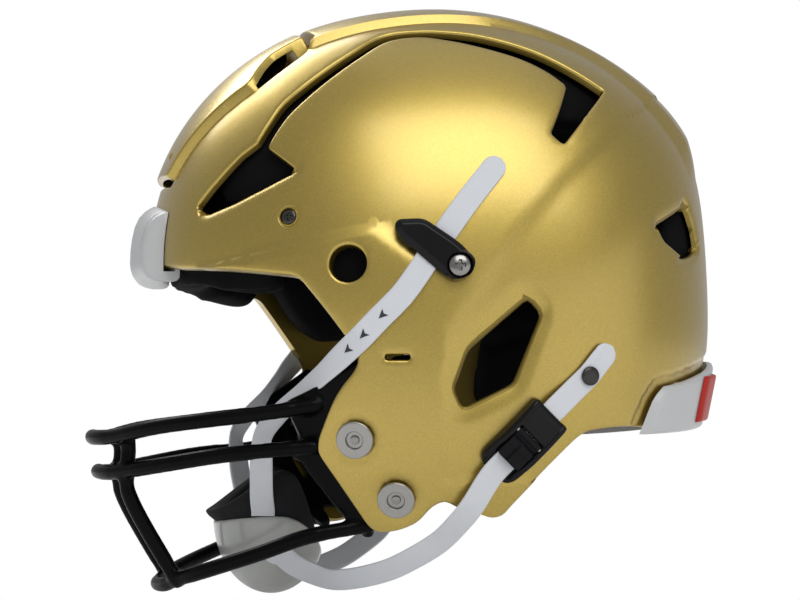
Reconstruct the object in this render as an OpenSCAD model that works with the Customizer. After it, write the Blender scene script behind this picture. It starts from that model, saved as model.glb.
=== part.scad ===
// Football helmet, rebuilt from one photograph.
// Frame: millimetres, +Z up, +X towards the back of the head, -Y the wearer's left.
// The origin lies under the middle of the whole helmet, on the level of its lowest point.
// The shell is one smooth surface about an axis through both ear openings: every side
// profile radius is listed below, and the half width closes it over the left and right.

/* [Shell] */
// Half width of the shell at the ears
shell_half_w = 120; // [105:0.5:130]
// Wall of the shell
shell_wall = 4; // [2.5:0.1:6]
// Fullness of the plan view
plan_power = 2.3; // [2:0.05:3]
// Fullness of the sides
side_power = 2.2; // [2:0.05:3]
// Height of the raised centre spine
spine_h = 3.5; // [1:0.1:5]
// Half width of the spine at the crown
spine_half_w = 44; // [34:0.5:48]
// Half width of the spine where it flares at the back
spine_rear_w = 60; // [48:0.5:64]
// Slope width of the spine's side
spine_bevel = 3; // [1:0.5:6]
// Ear axis, forward or back
ear_x = 32; // [20:0.5:45]
// Ear axis above the lowest point
ear_z = 126.5; // [115:0.5:145]
// Scale of every profile radius of the side view
profile_scale = 1; // [0.9:0.005:1.1]
// Gap left between pieces that rest on each other
seat_gap = 0.3; // [0.1:0.05:0.6]

/* [Openings] */
// Temple hole diameter
temple_hole_d = 19.5; // [12:0.5:26]
// Width of the small slot behind the temple
small_slot_w = 12.5; // [8:0.5:20]
// Height of the small slot
small_slot_h = 2.6; // [1.5:0.1:5]

/* [Flex panel] */
// Raised height of the panel over the shell
panel_rise = 3.8; // [2:0.1:6]
// Thickness of the panel
panel_t = 3.6; // [2.5:0.1:6]
// Slit left round the panel
panel_gap = 1.5; // [1:0.1:4]
// Diameter of the hinge rod
rod_d = 4; // [3:0.1:6]
// Running clearance on the radius of the rod
rod_clear = 0.06; // [0.02:0.01:0.2]
// Outside diameter of the panel knuckle
knuckle_d = 7; // [6:0.1:9]

/* [Face guard] */
// Bar diameter with its coating
bar_d = 7.5; // [5:0.1:9]
// Half distance of the two upright bars
upright_y = 32; // [20:0.5:45]
// Thickness of the side brackets
bracket_t = 3; // [2:0.1:5]

/* [Release fasteners] */
// Head diameter
release_head_d = 18.5; // [14:0.1:24]
// Head height
release_head_h = 2.6; // [1.5:0.1:5]
// Sleeve diameter through the shell
release_sleeve_d = 11; // [8:0.1:14]
// Plunger diameter
plunger_d = 4.6; // [3:0.1:7]
// Running clearance on the radius of the plunger
plunger_clear = 0.06; // [0.02:0.01:0.2]
// Plunger travel
plunger_travel = 1.6; // [0.8:0.1:3]

/* [Straps and buckles] */
// Strap width
strap_w = 12; // [9:0.1:19]
// Strap thickness
strap_t = 1.6; // [1:0.1:3]
// Buckle length
buckle_l = 41; // [32:0.5:52]
// Buckle width
buckle_w = 22; // [18:0.5:30]
// Buckle height over the shell
buckle_h = 8.4; // [6:0.1:12]
// Buckle pin diameter
pin_d = 2.4; // [1.6:0.1:4]
// Running clearance on the radius of the pin
pin_clear = 0.06; // [0.02:0.01:0.2]
// Rivet head diameter
rivet_d = 9.5; // [7:0.1:13]
// Upper clip height
clip_h = 6.6; // [5:0.1:9]
// Clip screw head diameter
clip_head_d = 11.5; // [8:0.1:14]
// Clip screw shank diameter
clip_shank_d = 4.8; // [3.5:0.1:6]
// Temple screw head diameter
temple_head_d = 7.4; // [6:0.1:10]

/* [Bumpers] */
// Half width of the front bumper
front_bump_half = 34; // [30:0.5:55]
// Thickness of the front bumper
front_bump_t = 10.6; // [6:0.1:14]
// Thickness of the rear bumper
rear_bump_t = 3.6; // [2:0.1:6]
// Thickness of the red plate
badge_t = 2; // [0.6:0.1:2]

/* [Padding] */
// Gap of the padding to the shell
pad_gap = 1.3; // [0.6:0.05:2]
// Thickness of the front pad
front_pad_t = 36; // [20:0.5:42]
// Thickness of the crown pad
crown_pad_t = 38; // [20:0.5:44]
// Thickness of the side pads
side_pad_t = 34; // [18:0.5:40]
// Thickness of the jaw pads
jaw_pad_t = 28; // [14:0.5:34]
// Thickness of the back pad
back_pad_t = 40; // [20:0.5:46]

/* [Chin cup] */
// Half width of the cup
cup_half_w = 41; // [32:0.5:50]
// Half length of the cup in side view
cup_rx = 30; // [24:0.5:40]
// Depth of the cup
cup_rz = 39.5; // [30:0.5:48]
// Wall of the cup shell
cup_wall = 2.4; // [1.5:0.1:4]
// Thickness of the cup pad
cup_pad_t = 8; // [5:0.5:12]

/* [Hidden] */

gold = [0.72, 0.62, 0.32];
black = [0.08, 0.08, 0.09];
white = [0.85, 0.86, 0.88];
steel = [0.66, 0.66, 0.68];
red = [0.7, 0.08, 0.08];
grey = [0.55, 0.57, 0.55];

// Radii of the side profile every 15 degrees, from straight back, up, to the front and under.
profile = [126.9, 132.1, 144.4, 161.2, 168.3, 172.8, 177.5, 181.9, 187.2, 188.4, 183.7, 173.1, 162.1, 157,
  156.9, 158.7, 160.4, 159.9, 157.4, 152.1, 145.1, 137.5, 130.5, 124.9];

function cr(a, b, c, d, f) = b + f * ((c - a) + f * ((2 * a - 5 * b + 4 * c - d)
  + f * (3 * (b - c) + d - a))) / 2;
function wrap(i) = (i + 48) % 24;
function rad(t) = let (u = ((t % 360) + 360) % 360 / 15, i = floor(u), f = u - i)
  profile_scale * cr(profile[wrap(i - 1)], profile[wrap(i)], profile[wrap(i + 1)],
  profile[wrap(i + 2)], f);
function ramp(a, b, v) = let (q = min(1, max(0, (v - a) / (b - a)))) q;
// How much the centre spine is raised at a side view angle.
function spine_on(t) = ramp(38, 45, t) * (1 - ramp(124, 128, t));
function ease(a, b, v) = let (q = ramp(a, b, v)) q * q * (3 - 2 * q);
function spine_w(t) = spine_half_w + (spine_rear_w - spine_half_w) * (1 - ease(48, 74, t));
function spine(t, y) = spine_h * spine_on(t) * (1 - ramp(spine_w(t) - spine_bevel, spine_w(t), abs(y)));
// Point of the surface at side view angle t and width y, raised by o.
function pt(t, y, o) = let (h = shell_half_w + o, q = pow(min(abs(y) / h, 1), side_power),
  k = pow(1 - q, 1 / plan_power), r = k * (rad(t) + o)) [ear_x + r * cos(t), y, ear_z + r * sin(t)];
// Left half: y of the surface over a side view point.
function side_y(x, z, o) = let (dx = x - ear_x, dz = z - ear_z,
  q = norm([dx, dz]) / (rad(atan2(dz, dx)) + o))
  -(shell_half_w + o) * pow(max(0, 1 - pow(q, plan_power)), 1 / side_power);
function on(x, z, o) = [x, side_y(x, z, o), z];
function unit(v) = v / norm(v);
// Keeps free points in proportion to the shell's width.
wide = shell_half_w / 120;
function spread(p) = [for (q = p) [q[0], q[1] * wide, q[2]]];
function side_n(x, z) = unit([(side_y(x + 1, z, 0) - side_y(x - 1, z, 0)) / 2, -1,
  (side_y(x, z + 1, 0) - side_y(x, z - 1, 0)) / 2]);
function top_n(t, y) = unit(cross(pt(t, y + 1, 0) - pt(t, y - 1, 0), pt(t + 1, y, 0) - pt(t - 1, y, 0)));

// Places things on the left side, local Z outward, local X turned by a from the helmet's X.
module seat(x, z, o, a) {
  n = side_n(x, z);
  translate(on(x, z, 0))
    rotate([0, acos(n[2]), atan2(n[1], n[0])])
      rotate([0, 0, 90 + a])
        translate([0, 0, o])
          children();
}
module right() {
  mirror([0, 1, 0])
    children();
}
module both() {
  children();
  right()
    children();
}

// Points are kept to a fiftieth of a millimetre, so facets that are almost flat leave no slivers.
function snap(q) = [for (p = q) [for (v = p) round(v * 50) / 50]];

// Closed body between two grids of points with the same rows and columns.
function quads(nr, nc, s, turn) = [for (i = [0 : nr - 2], j = [0 : nc - 2], k = [0, 1])
  let (a = s + i * nc + j, b = a + 1, c = a + nc + 1, d = a + nc, f = k == 0 ? [a, b, c] : [a, c, d])
  turn ? [f[2], f[1], f[0]] : f];
function rim(u, v, turn) = [for (i = [0 : len(u) - 2], k = [0, 1])
  let (f = k == 0 ? [u[i], v[i], v[i + 1]] : [u[i], v[i + 1], u[i + 1]]) turn ? [f[2], f[1], f[0]] : f];
module sheet(a, b, turn) {
  nr = len(a);
  nc = len(a[0]);
  m = nr * nc;
  pts = concat([for (r = a) for (p = r) p], [for (r = b) for (p = r) p]);
  e0 = [for (j = [0 : nc - 1]) j];
  e1 = [for (j = [0 : nc - 1]) (nr - 1) * nc + j];
  e2 = [for (i = [0 : nr - 1]) i * nc];
  e3 = [for (i = [0 : nr - 1]) i * nc + nc - 1];
  polyhedron(snap(pts), concat(quads(nr, nc, 0, turn), quads(nr, nc, m, !turn),
    rim(e0, [for (v = e0) v + m], turn), rim(e1, [for (v = e1) v + m], !turn),
    rim(e2, [for (v = e2) v + m], !turn), rim(e3, [for (v = e3) v + m], turn)), convexity = 8);
}
// Body swept through rings of points, closed at both ends.
module rings(r, turn) {
  n = len(r[0]);
  m = len(r);
  pts = [for (q = r) for (p = q) p];
  side = [for (i = [0 : m - 2], j = [0 : n - 1], k = [0, 1])
    let (a = i * n + j, b = i * n + (j + 1) % n, c = b + n, d = a + n,
    f = k == 0 ? [a, b, c] : [a, c, d]) turn ? [f[2], f[1], f[0]] : f];
  lo = [for (j = [0 : n - 1]) j];
  hi = [for (j = [0 : n - 1]) (m - 1) * n + j];
  lo_f = [for (j = [1 : n - 2]) turn ? [lo[0], lo[j], lo[j + 1]] : [lo[j + 1], lo[j], lo[0]]];
  hi_f = [for (j = [1 : n - 2]) turn ? [hi[j + 1], hi[j], hi[0]] : [hi[0], hi[j], hi[j + 1]]];
  polyhedron(snap(pts), concat(side, lo_f, hi_f), convexity = 8);
}
// Smooth run through control points, k steps between neighbours.
function at(p, i) = p[min(len(p) - 1, max(0, i))];
function smooth(p, k) = concat([for (i = [0 : len(p) - 2], s = [0 : k - 1])
  cr(at(p, i - 1), at(p, i), at(p, i + 1), at(p, i + 2), s / k)], [p[len(p) - 1]]);
function tang(p, i) = unit(at(p, i + 1) - at(p, i - 1));
// Round bar along a path.
module bar(p, up, d, n) {
  rings([for (i = [0 : len(p) - 1]) let (t = tang(p, i), u = unit(cross(up, t)), v = cross(t, u))
    [for (j = [0 : n - 1]) p[i] + d / 2 * (cos(j * 360 / n) * u + sin(j * 360 / n) * v)]], true);
}
// Flat strap along a path with a face direction at every point.
module strap(p, f, w, t) {
  rows = [for (i = [0 : len(p) - 1]) let (s = unit(cross(tang(p, i), f[i])), g = unit(cross(s, tang(p, i))))
    [p[i] - w / 2 * s + t / 2 * g, p[i] + w / 2 * s + t / 2 * g,
    p[i] + w / 2 * s - t / 2 * g, p[i] - w / 2 * s - t / 2 * g]];
  rings(rows, true);
}

// Levels across the shell, from the left ear to the right ear, as parts of the half width.
function half_cols(t) = let (a = spine_w(t) / shell_half_w, b = (spine_w(t) - spine_bevel) / shell_half_w)
  [0.998, 0.985, 0.955, 0.91, 0.85, 0.77, 0.68, a + 0.55 * (0.68 - a), a, b, b * 0.5];
inner_cols = [0.998, 0.975, 0.93, 0.85, 0.74, 0.6, 0.42, 0.22];
function both_ways(h) = concat([for (v = h) -v], [0], [for (i = [0 : len(h) - 1]) h[len(h) - 1 - i]]);
module egg(o, raised) {
  turn = 6;
  angles = [for (t = [0 : turn : 359]) t];
  cols = [for (t = angles) both_ways(raised ? half_cols(t) : inner_cols)];
  nc = len(cols[0]);
  na = len(angles);
  h = shell_half_w + o;
  pts = concat([for (i = [0 : na - 1]) for (c = cols[i]) pt(angles[i], c * h, o
    + (raised ? spine(angles[i], c * shell_half_w) : 0))], [[ear_x, -h, ear_z], [ear_x, h, ear_z]]);
  pl = na * nc;
  f = [for (i = [0 : na - 1], j = [0 : nc - 2], k = [0, 1]) let (i2 = (i + 1) % na,
    a = i * nc + j, b = a + 1, c = i2 * nc + j + 1, d = i2 * nc + j) k == 0 ? [c, b, a] : [d, c, a]];
  g = [for (i = [0 : na - 1]) let (i2 = (i + 1) % na) [i2 * nc, i * nc, pl]];
  e = [for (i = [0 : na - 1]) let (i2 = (i + 1) % na) [i * nc + nc - 1, i2 * nc + nc - 1, pl + 1]];
  polyhedron(snap(pts), concat(f, g, e), convexity = 4);
}

// Side view outline of the shell: everything inside it is kept.
outline = [[-152, 170.7], [-134.9, 170.2], [-124.1, 166.8], [-101.5, 164.3], [-71, 160.3], [-68, 158.2],
  [-59, 146.6], [-49.4, 133.5], [-39.4, 118.9], [-52.8, 102.2], [-60.2, 79.2], [-59.6, 73.3], [-32, 33.9],
  [-20.5, 34.7], [-10.6, 39], [-4.7, 46.8], [1.8, 50.2], [7.3, 46.8], [19.3, 43.4], [25.3, 41.1],
  [31.3, 42.6], [34.2, 46.5], [51.6, 65.4], [70, 83.5], [80, 85.2], [93, 86.6], [105.5, 85.6],
  [130.2, 87], [152.5, 89.2], [162, 91.6], [200, 91.6], [200, 330], [-152, 330]];
ear_cut = [[41.9, 149.7], [48.4, 142.3], [33.9, 107.2], [9, 95], [4.5, 105], [11.5, 123.9]];
disc_up = [-42.2, 80.4];
disc_lo = [-21.6, 51.2];
clip_at = [6.9, 164.5];
temple_at = [-74.2, 190.1];
rivet_at = [71.9, 111.7];

module prism(p, h) {
  rotate([90, 0, 0])
    linear_extrude(h, center = true)
      polygon(p);
}
// A cut through the wall along a run of left and right edge points.
module slot_cut(a, b) {
  c = [ear_x, 0, ear_z];
  rings([for (i = [0 : len(a) - 1]) [c + 1.12 * (a[i] - c), c + 1.12 * (b[i] - c),
    c + 0.86 * (b[i] - c), c + 0.86 * (a[i] - c)]], true);
}
// Crown slot: band edge and dome edge on the left, front to rear, in the side view.
slot_band = [[-116.8, 197.4], [-110.4, 206.1], [-102, 216], [-95.5, 222.9], [-87.5, 228.9],
  [-81.1, 239.1], [-73.7, 249.4], [-63.7, 258.1], [-53.3, 266.3], [-36.9, 277.8], [-20.5, 287.4],
  [-2, 290], [14, 289.5], [29, 287.5], [55.1, 279.9], [75.2, 269.8], [91.7, 259.2]];
slot_dome = [[-112.7, 194], [-99.3, 199.4], [-84.4, 207.1], [-70.4, 214.5], [-83, 226.1], [-78.1, 234.3],
  [-72.1, 242.5], [-61.7, 252.7], [-50.7, 262], [-35.3, 273.5], [-19.4, 283.5], [-2.9, 286.2],
  [10.1, 284.6], [22.2, 282], [47.7, 274.4], [61.3, 267.3], [70.3, 260.1]];
leg_a = [[91.7, 259.2], [77.5, 243.6], [63.6, 227.8]];
leg_b = [[70.3, 260.1], [64, 245.9], [57.6, 233.3]];
vent_a = [[133.4, 200.7], [138.9, 189], [141.9, 178.2]];
vent_b = [[112.9, 188.8], [119.4, 179.1], [129.9, 173.7]];

// Half widths of the panel opening and of the panel at side view angles.
open_t = [152.2, 148, 144, 140, 136, 132, 130, 126, 122, 118];
open_y = [28.2, 32.1, 36.5, 41, 45.2, 48.9, 49.8, 49.2, 46.7, 44];
pan_t = [151, 148, 144, 140, 136, 132, 130.6, 128, 125.5, 122.5, 119.4];
pan_y = [26.6, 30.7, 35.1, 39.7, 43.9, 47.6, 45.9, 39.7, 34.8, 33.9, 33.3];
pan_cols = [-1, -0.86, -0.72, -0.54, -0.36, -0.18, 0, 0.18, 0.36, 0.54, 0.72, 0.86, 1];

module shell_holes() {
  both() {
    prism(ear_cut, 400);
    slot_cut([for (p = slot_band) on(p[0], p[1], 0)], [for (p = slot_dome) on(p[0], p[1], 0)]);
    slot_cut([for (p = leg_a) on(p[0], p[1], 0)], [for (p = leg_b) on(p[0], p[1], 0)]);
    slot_cut([for (p = vent_a) on(p[0], p[1], 0)], [for (p = vent_b) on(p[0], p[1], 0)]);
    hull() {
      seat(-46.1, 166, -12, 0) cylinder(h = 30, d = temple_hole_d, $fn = 28);
      seat(-46.1, 166, -8, 0) cylinder(h = 16, d = temple_hole_d / 2, $fn = 12);
    }
    hull() {
      seat(disc_up[0], disc_up[1], -14, 0) cylinder(h = 28, d = release_sleeve_d + 0.5, $fn = 20);
      seat(disc_up[0], disc_up[1], -8, 0) cylinder(h = 16, d = release_sleeve_d / 2, $fn = 12);
    }
    hull() {
      seat(disc_lo[0], disc_lo[1], -14, 0) cylinder(h = 28, d = release_sleeve_d + 0.5, $fn = 20);
      seat(disc_lo[0], disc_lo[1], -8, 0) cylinder(h = 16, d = release_sleeve_d / 2, $fn = 12);
    }
    hull() {
      seat(clip_at[0], clip_at[1], -12, 0) cylinder(h = 24, d = clip_shank_d + 0.6, $fn = 14);
      seat(clip_at[0], clip_at[1], -8, 0) cylinder(h = 16, d = clip_shank_d / 2, $fn = 12);
    }
    hull() {
      seat(temple_at[0], temple_at[1], -2, 0) cylinder(h = 12, d = temple_head_d + 1.4, $fn = 16);
      seat(temple_at[0], temple_at[1], -1, 0) cylinder(h = 8, d = temple_head_d / 2, $fn = 12);
    }
    hull() {
      seat(temple_at[0], temple_at[1], -12, 0) cylinder(h = 24, d = 4.6, $fn = 14);
      seat(temple_at[0], temple_at[1], -8, 0) cylinder(h = 16, d = 2.3, $fn = 12);
    }
    hull() {
      seat(rivet_at[0], rivet_at[1], -12, 0) cylinder(h = 24, d = 4.6, $fn = 14);
      seat(rivet_at[0], rivet_at[1], -8, 0) cylinder(h = 16, d = 2.3, $fn = 12);
    }
    hull() {
      seat(-23, 120.4, -12, 0) cube([small_slot_w, small_slot_h, 40], center = true);
      seat(-23, 120.4, -11, 0) cube([small_slot_w / 2, small_slot_h / 2, 30], center = true);
    }
    hull() {
      screw_seat(-12) cylinder(h = 24, d = 4.4, $fn = 14);
      screw_seat(-8) cylinder(h = 16, d = 2.2, $fn = 12);
    }
  }
  sheet([for (i = [0 : len(open_t) - 1]) [for (c = pan_cols) pt(open_t[i], c * open_y[i], 9)]],
    [for (i = [0 : len(open_t) - 1]) [for (c = pan_cols) pt(open_t[i], c * open_y[i], -12)]], false);
}
// Seat of the rear bumper screws, local Z outward.
module screw_seat(o) {
  n = top_n(-11, -81);
  translate(pt(-11, -81, 0))
    rotate([0, acos(n[2]), atan2(n[1], n[0])])
      translate([0, 0, o])
        children();
}
module shell() {
  color(gold)
    difference() {
      intersection() {
        egg(0, true);
        prism(outline, 300);
      }
      egg(-shell_wall, false);
      shell_holes();
    }
}

module panel_body() {
  sheet([for (i = [0 : len(pan_t) - 1]) [for (c = pan_cols) pt(pan_t[i], c * pan_y[i], panel_rise)]],
    [for (i = [0 : len(pan_t) - 1]) [for (c = pan_cols) pt(pan_t[i], c * pan_y[i], panel_rise - panel_t)]],
    false);
}
rod_at = pt(149, 0, -shell_wall - 9.9);
module across(at, d, w, n) {
  translate(at)
    rotate([90, 0, 0])
      cylinder(h = w, d = d, center = true, $fn = n);
}
module front_flex_panel() {
  color(gold)
    difference() {
      union() {
        panel_body();
        for (y = [-14, 14])
          hull() {
            across([rod_at[0], y, rod_at[2]], knuckle_d, 10, 32);
            across(pt(147.5, y, panel_rise - panel_t + 0.8), 5, 10, 32);
          }
      }
      across(rod_at, rod_d + 2 * rod_clear, 80, 48);
    }
}
module panel_pad() {
  tt = [145, 143, 140, 136, 132, 129, 126, 123, 121.2];
  yy = [16, 21, 25, 28, 28, 26, 24, 23, 19];
  cc = [-1, -0.9, -0.7, -0.35, 0, 0.35, 0.7, 0.9, 1];
  color(black)
    sheet([for (i = [0 : 8]) [for (c = cc) pt(tt[i], c * yy[i], panel_rise - panel_t - seat_gap)]],
      [for (i = [0 : 8]) [for (c = cc) pt(tt[i], c * yy[i], panel_rise - panel_t - seat_gap
      - 4 - 9 * (1 - pow(abs(c), 4)) * (1 - pow(abs(i - 4) / 4, 4)))]], false);
}
module panel_hinge_rod() {
  color(steel)
    across(rod_at, rod_d, 68, 48);
}
module panel_hinge_brackets() {
  color(black)
    for (s = [-1, 1])
      difference() {
        hull() {
          across([rod_at[0], s * 31, rod_at[2]], 6.6, 5, 28);
          for (t = [146.6, 151.4])
            translate(pt(t, s * 31, -shell_wall - 2.8))
              rotate([90, 0, 0])
                cylinder(h = 5, d = 1.6, center = true, $fn = 16);
        }
        across([rod_at[0], s * 31, rod_at[2]], rod_d + 0.02, 20, 48);
      }
}

// Cross section of the front bumper: height and offset from the shell, outside first.
front_sec = [[202.2, seat_gap], [201.7, 2], [199.7, front_bump_t * 0.5], [195.7, front_bump_t * 0.78],
  [187.7, front_bump_t * 0.96], [176.7, front_bump_t], [170.2, front_bump_t * 0.96],
  [165.7, front_bump_t * 0.8], [163.9, 3], [163.7, -4.8], [164.9, -7], [167.4, -7.8], [173.2, -7.6],
  [173.2, -shell_wall - 1.6], [169, -shell_wall - 1.6], [169, seat_gap], [175.2, seat_gap],
  [180.7, seat_gap], [187.7, seat_gap], [194.7, seat_gap]];
// How much lower the brow bumper's ends sit than its middle.
front_drop = 2.8;
// Side view angle that puts the surface at height z with width y.
function ang(z, y, o, lo, hi, n) = n == 0 ? (lo + hi) / 2 : let (m = (lo + hi) / 2)
  pt(m, y, o)[2] > z ? ang(z, y, o, m, hi, n - 1) : ang(z, y, o, lo, m, n - 1);
function front_pt(y, z, o) = pt(ang(z, y, o, 120, 200, 22), y, o);
module front_bumper() {
  ys = [-1, -0.94, -0.8, -0.5, -0.2, 0, 0.2, 0.5, 0.8, 0.94, 1];
  color(white)
    rings([for (c = ys) let (e = abs(c) > 0.99 ? 0.55 : abs(c) > 0.9 ? 0.86 : 1)
      [for (s = front_sec) front_pt(c * front_bump_half,
      s[0] - front_drop * abs(c) - (s[0] > 185 ? 3 * c * c : 0),
      s[1] > 1 ? max(seat_gap, s[1] * e) : s[1])]], false);
}

// Levels of the rear bumper over its width, and its top edge there.
rb_y = concat([-100, -98.5, -95, -84], [for (i = [-6 : 6]) i * 12], [84, 95, 98.5, 100]);
function rb_top(y) = lookup(abs(y), [[0, 122.6], [25, 121.6], [50, 117.2], [70, 113.1], [84, 109.5],
  [95, 106.8], [98.5, 98], [100, 85]]);
function rb_low(y) = lookup(abs(y), [[0, 89], [30, 88], [67, 85.3], [100, 83]]);
function rear_pt(y, z, o) = pt(ang_r(z, y, o, -60, 40, 22), y, o);
function ang_r(z, y, o, lo, hi, n) = n == 0 ? (lo + hi) / 2 : let (m = (lo + hi) / 2)
  pt(m, y, o)[2] > z ? ang_r(z, y, o, lo, m, n - 1) : ang_r(z, y, o, m, hi, n - 1);
module rear_bumper() {
  k = [0, 0.12, 0.5, 0.88, 1];
  e = [0.35, 0.85, 1, 1, 0.9];
  color(white)
    difference() {
      sheet([for (i = [0 : len(rb_y) - 1]) [for (j = [0 : 4]) rear_pt(rb_y[i], rb_top(rb_y[i])
        + k[j] * (rb_low(rb_y[i]) - rb_top(rb_y[i])),
        seat_gap + rear_bump_t * e[j] * (abs(rb_y[i]) > 99 ? 0.4 : 1))]],
        [for (i = [0 : len(rb_y) - 1]) [for (j = [0 : 4]) rear_pt(rb_y[i], rb_top(rb_y[i])
        + k[j] * (rb_low(rb_y[i]) - rb_top(rb_y[i])), seat_gap + 0.1)]], true);
      both()
        screw_seat(-1)
          cylinder(h = 3.2, d = 3.4, $fn = 20);
    }
}
module rear_bumper_plate() {
  ys = [for (i = [-6 : 6]) i * 11.4];
  zs = [115.5, 110, 103, 96, 92];
  o = seat_gap + rear_bump_t + 0.25;
  color(red)
    sheet([for (y = ys) [for (z = zs) rear_pt(y, z + 1.2 - 0.056 * abs(y), o + badge_t)]],
      [for (y = ys) [for (z = zs) rear_pt(y, z + 1.2 - 0.056 * abs(y), o)]], true);
}
module rear_bumper_screws() {
  color(steel)
    both()
      screw_seat(0) {
        translate([0, 0, -shell_wall - 2.9])
          cylinder(h = 2, d = 8, $fn = 32);
        translate([0, 0, -shell_wall - 1])
          cylinder(h = shell_wall + 1 + 2, d = 3.2, $fn = 32);
      }
}

// Face guard: control points run from the front middle to the left side.
function flip(p) = [for (i = [len(p) - 1 : -1 : 1]) [p[i][0], -p[i][1], p[i][2]]];
function whole(p) = smooth(spread(concat(flip(p), p)), 2);
guard_top = [[-164.5, 0, 82], [-162.5, -16, 81.6], [-155.1, -32, 82.2], [-135.6, -58, 86.8],
  [-110.7, -78, 90.3], [-84.8, -89.5, 93.4], [-59.9, -94.5, 97.3]];
guard_mid = [[-161.4, 0, 64.2], [-158.9, -16, 63.7], [-151.5, -32, 64.3], [-131.6, -57, 68],
  [-105.7, -77, 72.5], [-81.8, -87.5, 75.1], [-60.9, -92.3, 76.9]];
guard_low = [[-130.2, 0, 6], [-128.2, -16, 6.5], [-122.8, -32, 9.6], [-107.4, -54, 15.8],
  [-85.6, -72, 23.9], [-62.8, -82, 32.4], [-36, -85, 37.6]];
upright = [[-148.6, -32, 83.8], [-148, -32, 75.3], [-148.9, -32, 57.9], [-145.9, -32, 48.5],
  [-126.8, -32, 15], [-122.8, -32, 8.6]];
side_run = [[-39.4, 117], [-46.9, 109.6], [-55.8, 101.4], [-61.2, 90.2], [-64.2, 78.4], [-62.6, 71.1],
  [-53.6, 58.6], [-42.5, 44.8], [-32.5, 35]];
module face_guard() {
  color(black)
    difference() {
      union() {
        bar(whole(guard_top), [0, 0, 1], bar_d, 10);
        bar(whole(guard_mid), [0, 0, 1], bar_d, 10);
        bar(whole(guard_low), [0, 0, 1], bar_d, 10);
        both() {
          bar([for (p = upright) [p[0], -upright_y, p[2]]], [0, 1, 0], bar_d, 10);
          bar([for (p = side_run) on(p[0], p[1], -shell_wall - 0.8 - bar_d / 2)], [0, 1, 0], bar_d - 0.5, 10);
          intersection() {
            difference() {
              egg(-shell_wall - 0.8, false);
              egg(-shell_wall - 0.8 - bracket_t, false);
            }
            translate([0, -60, 0])
              union() {
                bracket_arm([-61.3, 76.6], disc_up, 22.4);
                bracket_arm([-47.6, 52.5], disc_lo, 22);
                bracket_arm(disc_up, disc_lo, 22);
                bracket_arm([-59.6, 66.4], [-37.5, 39.7], 9);
              }
          }
        }
      }
      both() {
        seat(disc_up[0], disc_up[1], -16, 0) cylinder(h = 20, d = release_sleeve_d + 0.4, $fn = 20);
        seat(disc_lo[0], disc_lo[1], -16, 0) cylinder(h = 20, d = release_sleeve_d + 0.4, $fn = 20);
      }
    }
}
module bracket_arm(a, b, w) {
  hull() {
    translate([a[0], 0, a[1]])
      rotate([90, 0, 0])
        cylinder(h = 120, d = w, center = true, $fn = 20);
    translate([b[0], 0, b[1]])
      rotate([90, 0, 0])
        cylinder(h = 120, d = w, center = true, $fn = 20);
  }
}

// Release fastener, local Z outward, zero on the shell's outer face.
sleeve_in = shell_wall + 0.8 + bracket_t + 4;
module release_head() {
  difference() {
    union() {
      translate([0, 0, 0.5])
        cylinder(h = release_head_h - 0.5, d1 = release_head_d, d2 = release_head_d - 0.6, $fn = 64);
      translate([0, 0, -sleeve_in])
        cylinder(h = sleeve_in + 1, d = release_sleeve_d, $fn = 64);
    }
    translate([0, 0, release_head_h - 1])
      cylinder(h = 2, d = 8, $fn = 6);
    translate([0, 0, -sleeve_in + 1.6])
      cylinder(h = 30, d = plunger_d + 2 * plunger_clear, $fn = 48);
  }
}
module release_heads() {
  color(steel)
    both() {
      seat(disc_up[0], disc_up[1], 0, 0)
        release_head();
      seat(disc_lo[0], disc_lo[1], 0, 0)
        release_head();
    }
}
module release_nut() {
  translate([0, 0, -shell_wall - 0.8 - bracket_t - 1.1 - 2.2])
    difference() {
      cylinder(h = 2.2, d = 17, $fn = 48);
      translate([0, 0, -1])
        cylinder(h = 5, d = release_sleeve_d + 0.04, $fn = 64);
    }
}
module release_nuts() {
  color(steel)
    both() {
      seat(disc_up[0], disc_up[1], 0, 0)
        release_nut();
      seat(disc_lo[0], disc_lo[1], 0, 0)
        release_nut();
    }
}
module plunger() {
  translate([0, 0, -sleeve_in + 1.6 + plunger_travel + 0.3])
    cylinder(h = sleeve_in - 1.6 - plunger_travel - 0.3 + release_head_h - 0.6, d = plunger_d, $fn = 48);
}
module plunger_upper_l() {
  color(steel)
    seat(disc_up[0], disc_up[1], 0, 0)
      plunger();
}
module plunger_lower_l() {
  color(steel)
    seat(disc_lo[0], disc_lo[1], 0, 0)
      plunger();
}
module plunger_upper_r() {
  right()
    plunger_upper_l();
}
module plunger_lower_r() {
  right()
    plunger_lower_l();
}

// Upper strap clip, drawn round its middle at x -4, z 179.5.
clip_mid = [-4.1, 172.5];
clip_poly = [[-20.5, 11.5], [-19, 15], [-6, 15.5], [11.5, 3.5], [19.5, -5], [17, -13], [9, -16],
  [3, -12.5], [-9.5, -1.5], [-17.5, 5]];
clip_top = [[-18.4, 11.2], [-17.6, 12.9], [-6.6, 13.2], [10, 1.6], [17, -5.6], [15, -11.4],
  [9.2, -13.5], [4.2, -10.7], [-8.4, 0.4], [-16, 6.8]];
strap_a = 49;
module strap_clip_l() {
  color(black)
    difference() {
      seat(clip_mid[0], clip_mid[1], 0.7, 0) {
        linear_extrude(clip_h - 2)
          polygon(clip_poly);
        linear_extrude(clip_h - 0.7)
          polygon(clip_top);
      }
      seat(-9.1, 172.4, 0, strap_a)
        translate([0, 0, 0.6])
          cube([80, strap_w + 1.8, 2 * (strap_t + 1.4)], center = true);
      seat(clip_at[0], clip_at[1], -10, 0)
        cylinder(h = 30, d = clip_shank_d + 0.1, $fn = 48);
      seat(clip_at[0], clip_at[1], clip_h - 2.4, 0)
        cylinder(h = 20, d = clip_head_d + 0.8, $fn = 48);
    }
}
module strap_clip_r() {
  right()
    strap_clip_l();
}
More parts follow.
